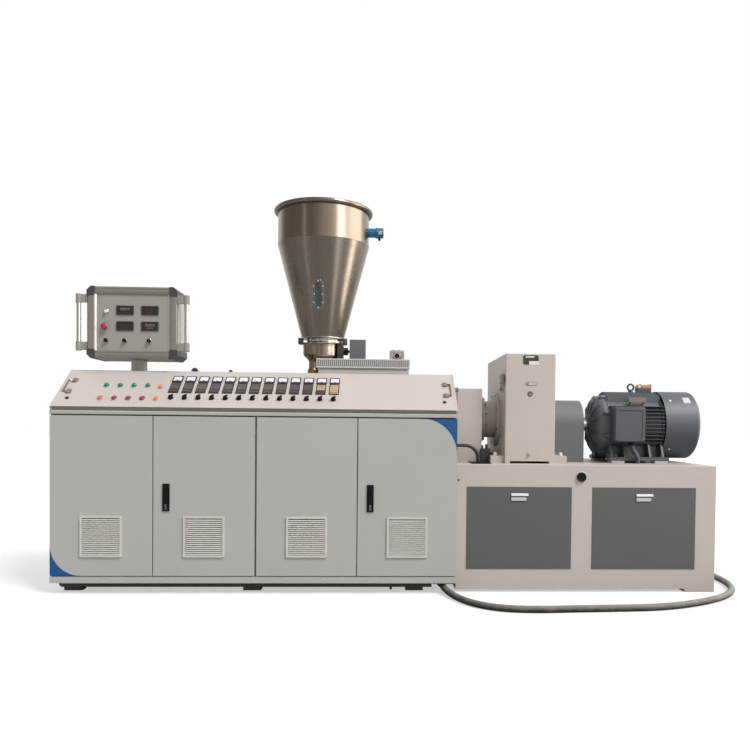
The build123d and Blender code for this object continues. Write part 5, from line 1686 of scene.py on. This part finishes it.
def add_fin(bm, offset, upright, side):
    """A cast fin, thicker at its root, from inside the core out to the fin circle."""
    tip = math.sqrt(fin_radius**2 - offset**2)
    root = math.sqrt(core_radius**2 - offset**2) - 0.008
    outline = [(root, -root_half), (tip, -tip_half), (tip, tip_half), (root, root_half)]
    ends = []
    for x in (fin_start, fin_end):
        if upright:
            row = [(x, axis_y + offset + wide, axis_z + side * out) for out, wide in outline]
        else:
            row = [(x, axis_y + side * out, axis_z + offset + wide) for out, wide in outline]
        ends.append(row)
    add_between(bm, *ends)


steps = int(fin_spread / fin_pitch)
for side in (-1, 1):
    for number in range(-steps, steps + 1):
        for upright in (True, False):
            add_fin(bm, number * fin_pitch, upright, side)
foot_half = 0.203
rail_half = 0.042
rail_low, rail_high = left + 3.653, left + 4.071
shim = 0.015
foot_low, foot_high = bed_top + shim, bed_top + shim + 0.026
rib_half = 0.007
rib_top = axis_z - math.sqrt(core_radius**2 - (foot_half - 0.060) ** 2) + 0.03
rib_outline = [
    (foot_half + 0.036, bed_top + 0.024), (foot_half - 0.075, bed_top + 0.024),
    (foot_half - 0.085, rib_top + 0.02), (foot_half - 0.030, rib_top + 0.012),
]
web_outline = [
    (foot_half - 0.052, bed_top + 0.02), (foot_half - 0.070, bed_top + 0.02),
    (foot_half - 0.085, axis_z - 0.125), (foot_half - 0.067, axis_z - 0.125),
]
shims = bmesh.new()
for side in (-1, 1):
    y = axis_y + side * foot_half
    add_block(bm, (rail_low, y - rail_half, foot_low), (rail_high, y + rail_half, foot_high))
    for x in (rail_low + 0.012, rail_high - 0.102):
        near, far = y - rail_half - 0.004, y + rail_half - 0.004
        add_block(shims, (x, near, bed_top), (x + 0.090, far, foot_low))
    for across in (3.672, 3.765, 3.944, 4.035):
        outline = [(axis_y + side * out, up) for out, up in rib_outline]
        add_prism(bm, outline, left + across - rib_half, left + across + rib_half, "yz")
    web = [(axis_y + side * out, up) for out, up in web_outline]
    add_prism(bm, web, rail_low + 0.01, motor_end - 0.004, "yz")
    for x in (rail_low + 0.045, rail_high - 0.045):
        add_hex(bm, top_face((x, y + side * 0.014, foot_high)), 0, 0, 24, 0, 16)
piece("motor_finned_frame", bm, slate_paint, 0.0012, ["motor_body"], angle=30)
piece("motor_shims", shims, machine_paint, 0.001)
print("fins:", 4 * (2 * steps + 1))

# %% Motor end shield
shield = [
    (0.036, -0.050), (0.040, -0.054), (0.064, -0.054), (0.070, -0.051), (0.074, -0.044),
    (0.100, -0.040), (0.108, -0.035), (0.150, -0.028), (0.182, -0.014), (0.198, 0.004),
    (0.205, 0.020), (0.205, 0.046), (0.211, 0.048), (0.211, 0.058), (0.0, 0.058),
]
rib = [
    (0.078, -0.050), (0.112, -0.044), (0.156, -0.036), (0.192, -0.012), (0.203, 0.018),
    (0.078, 0.018),
]
spoke_half = 0.005
lug_radius, lug_ring = 0.017, 0.208
bm = bmesh.new()
shield = [(radius, motor_start + x) for radius, x in shield]
add_turned(bm, lengthwise_profile(shield), lengthwise, 96)
for turn in turns(12, 0.5):
    about = turned_about_axis(turn)
    sides = [
        [about @ Vector((motor_start + x, half, radius)) for radius, x in rib]
        for half in (-spoke_half, spoke_half)
    ]
    add_between(bm, *sides)
for turn in turns(8, 0.5):
    about = turned_about_axis(turn)
    start = (motor_start + 0.016, 0, lug_ring)
    end = (motor_start + 0.062, 0, lug_ring)
    add_rod(bm, about @ Vector(start), about @ Vector(end), lug_radius, 24)
    add_hex(bm, about @ left_face(start), 0, 0, 18, 0, 12)
piece("motor_end_shield", bm, shield_paint, 0.0015, angle=32)
bm = bmesh.new()
cap_low = Vector((motor_start - 0.012, axis_y - 0.02, axis_z + 0.165))
add_rod(bm, cap_low, cap_low + Vector((0, 0, 0.043)), 0.006, 16, 0.003)
piece("motor_grease_cap", bm, red_cap, 0.0006)

# %% Motor cowl with its fan grille
cowl_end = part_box("motor_cowl")[1].x
cowl_radius = 0.241
cowl_edge = 0.026
inner_cowl = cowl_radius - cowl_edge
grille_wire = 0.0024
bm = bmesh.new()
cowl = [(cowl_radius - 0.004, motor_end + 0.004), (cowl_radius - 0.003, motor_end)]
cowl += [(cowl_radius, motor_end + 0.0005), (cowl_radius, cowl_end - cowl_edge)]
cowl += arc(inner_cowl, cowl_end - cowl_edge, cowl_edge, 10, 90, 8)
cowl += [(0.185, cowl_end), (0.183, cowl_end - 0.004), (0.183, cowl_end - 0.030)]
cowl += [(0.0, cowl_end - 0.030)]
add_turned(bm, lengthwise_profile(cowl), lengthwise, 128)
piece("motor_fan_cowl", bm, slate_paint, stands_for=["motor_cowl"], angle=40)
bm = bmesh.new()
for number in range(9):
    ring = arc(0.030 + number * 0.0185, cowl_end - 0.004, grille_wire, 0, 360, 8)
    add_turned(bm, lengthwise_profile(ring), lengthwise, 72)
for turn in turns(6):
    about = turned_about_axis(turn)
    ends = (about @ Vector((cowl_end - 0.006, 0, radius)) for radius in (0.014, 0.186))
    add_rod(bm, *ends, 0.0035, 12)
boss = [(0, 5), (24, 4), (27, 1), (0, 0)]
add_knob(bm, right_face((cowl_end - 0.008, axis_y, axis_z)), boss, steps=40)
piece("motor_fan_grille", bm, slate_paint, angle=50)
bm = bmesh.new()
fan_x = cowl_end - 0.0285
blade_thickness, blade_sweep = 0.004, 0.010
for turn in turns(8):
    about = turned_about_axis(turn)
    sides = []
    for shift in (0, blade_thickness):
        blade = [(0.0, 0.045), (0.012, 0.045), (0.012, 0.170), (0.0, 0.170)]
        sides.append([
            about @ Vector((fan_x + skew, blade_sweep * (radius / 0.17) + shift, radius))
            for skew, radius in blade
        ])
    add_between(bm, *sides)
hub = [(0, 16), (30, 15), (42, 8), (46, 0), (0, 0)]
add_knob(bm, right_face((fan_x - 0.001, axis_y, axis_z)), hub, steps=40)
piece("motor_fan", bm, soft_black, 0.0004)
bm = bmesh.new()
screw = [(0, 4), (6, 3.4), (8.5, 1.5), (9, -1), (0, -1)]
for turn in (44.5, 135.5, 224.5, 315.5):
    about = turned_about_axis(math.radians(turn))
    add_knob(bm, about @ top_face((motor_end + 0.050, 0, cowl_radius)), screw, steps=20)
piece("motor_cowl_screws", bm, bright_steel, 0.0004)
label_depths = (cowl_radius - 0.0006, cowl_radius + 0.0007)
label_turns = [math.radians(40 + 14 * step / 8) for step in range(9)]
label_rim = [(label_depths[0], turn) for turn in label_turns]
label_rim += [(label_depths[1], turn) for turn in reversed(label_turns)]
outline = [
    (axis_y - depth * math.cos(turn), axis_z + depth * math.sin(turn)) for depth, turn in label_rim
]
bm = bmesh.new()
add_prism(bm, outline, left + 4.196, left + 4.246, "yz")
piece("motor_cowl_blank_label", bm, label_white)
print("motor cowl made")

# %% Terminal box, rating plate and top box
term_low, term_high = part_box("terminal_box")
term_middle = ((term_low.x + term_high.x) / 2, term_low.y, (term_low.z + term_high.z) / 2)
place = front_face(term_middle)
width, height = (term_high.x - term_low.x) / MM, (term_high.z - term_low.z) / MM
bm = bmesh.new()
add_plate(bm, place, rounded(width + 4, height + 4, 14), -16, -9)
add_plate(bm, place, rounded(width + 2, height + 2, 16), -8, 5)
outer, inner = rounded(width - 10, height - 10, 20), rounded(width - 42, height - 46, 14)
add_frame(bm, place, outer, inner, 4.8, 10)
add_plate(bm, place, rounded(width - 43, height - 47, 14), 4, 6.5)
screw = [(0, 13), (4, 13), (5.5, 11.5), (5.5, 8), (9, 7), (10, 4), (0, 4)]
add_corner_knobs(bm, place, width / 2 - 13, height / 2 - 13, screw, 20)
piece("terminal_box_lid", bm, slate_paint, 0.0022, angle=30, steps=3)
bm = bmesh.new()
gland_place = top_face((left + 3.800, front + 0.338, term_low.z))
gland = [(0, 0), (27, 0), (27, -6), (22, -8), (24, -9), (24, -22), (20, -26), (16, -27), (0, -27)]
add_knob(bm, gland_place, gland)
piece("terminal_box_gland", bm, black_plastic, 0.0008, angle=35)
bracket_finish = metal("weathered_plate", linear(84, 74, 70), 0.6, stain=0.3, metallic=0.2)
bm = bmesh.new()
lean_place = face_matrix((1, 0, 0), (0, 0.45, 0.9), (left + 3.8635, front + 0.420, 1.274))
add_plate(bm, lean_place, rounded(127, 40, 4), -2, 1)
for a in (-56, 56):
    add_knob(bm, lean_place, [(0, 3.4), (3, 3), (4, 1), (0, 1)], a, 0, 16)
piece("motor_blank_plate", bm, bracket_finish, 0.0005)
bm = bmesh.new()
for a in (-48, 48):
    start = lean_place @ Vector((a * MM, -0.012, -0.0015))
    end = start + Vector((0, 0.055, -0.032))
    add_rod(bm, start, end, 0.006, 12)
piece("motor_plate_pegs", bm, slate_dark, 0.0006)

top_low, top_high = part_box("motor_top_box")
rust_lid = paint("orange_brown_lid", linear(196, 128, 78), roughness=0.5, drift=0.2, dust=0.0)
bm = bmesh.new()
place = top_face(((top_low.x + top_high.x) / 2, axis_y, top_high.z - 0.001))
add_plate(bm, place, rounded(78, 62, 5, 14, 0), -20, 2.5)
piece("motor_top_lid", bm, rust_lid, 0.0015)
bm = bmesh.new()
add_plate(bm, place, rounded(26, 62, 5, -38, 0), -20, 2.0)
pale_lid = paint("pale_yellow_lid", linear(216, 200, 160), dust=0.0)
piece("motor_top_lid_end", bm, pale_lid, 0.0015)
bm = bmesh.new()
for a in (-30, 46):
    for b in (-22, 22):
        add_knob(bm, place, [(0, 9), (6, 8.4), (8, 5), (8, 2), (0, 2)], a, b, 20)
add_plate(bm, place, rounded(106, 64, 4), -34, -28)
piece("motor_top_screws", bm, slate_dark, 0.0008)
print("motor dressed")

# %% [markdown]
# ## Bed panels
# The bed is a welded case with sheet covers let into its front. Every cover has a pull: a white
# upper bar, under which the fingers go, and a grey lower bar with a notch.

# %% Cover pulls
pull_white = plastic("pull_white", linear(236, 236, 236), 0.35)
pull_grey = plastic("pull_grey", linear(186, 186, 184), 0.4)
upper, lower = bmesh.new(), bmesh.new()
pull_bar = [(-55, 7), (59, 7), (55, 23), (-55, 23)]
pull_plate = [(-55, -25), (46, -25), (42, -17), (46, -9), (42, -3), (-55, -3)]
for across in (2964.0, 3787.0):
    place = front_face(spot(across, 56, 622))
    add_plate(upper, place, pull_bar, 4.6, 8.5)
    add_plate(lower, place, pull_plate, 4.6, 7.0)
piece("panel_pull_bars", upper, pull_white, 0.0008)
piece("panel_pull_plates", lower, pull_grey, 0.0006)

bm, dark = bmesh.new(), bmesh.new()
place = front_face(spot(3369, 60, 753))
add_knob(bm, place, [(30, 0), (36, 0), (36, 3), (33, 5), (30, 5), (30, 0)], steps=48)
add_knob(dark, place, [(0, 12), (20, 12), (22, 16), (28, 16), (31, 12), (31, 0), (0, 0)], steps=48)
piece("bed_plug_ring", bm, machine_paint, 0.0006, angle=40)
piece("bed_plug_cap", dark, black_plastic, 0.001, angle=40)
bm = bmesh.new()
add_knob(bm, front_face(spot(2566, 60, 728)), [(0, 3.5), (4, 3), (6, 1), (6, 0), (0, 0)], steps=20)
piece("bed_small_screws", bm, oiled_steel, 0.0002)
print("bed dressed")
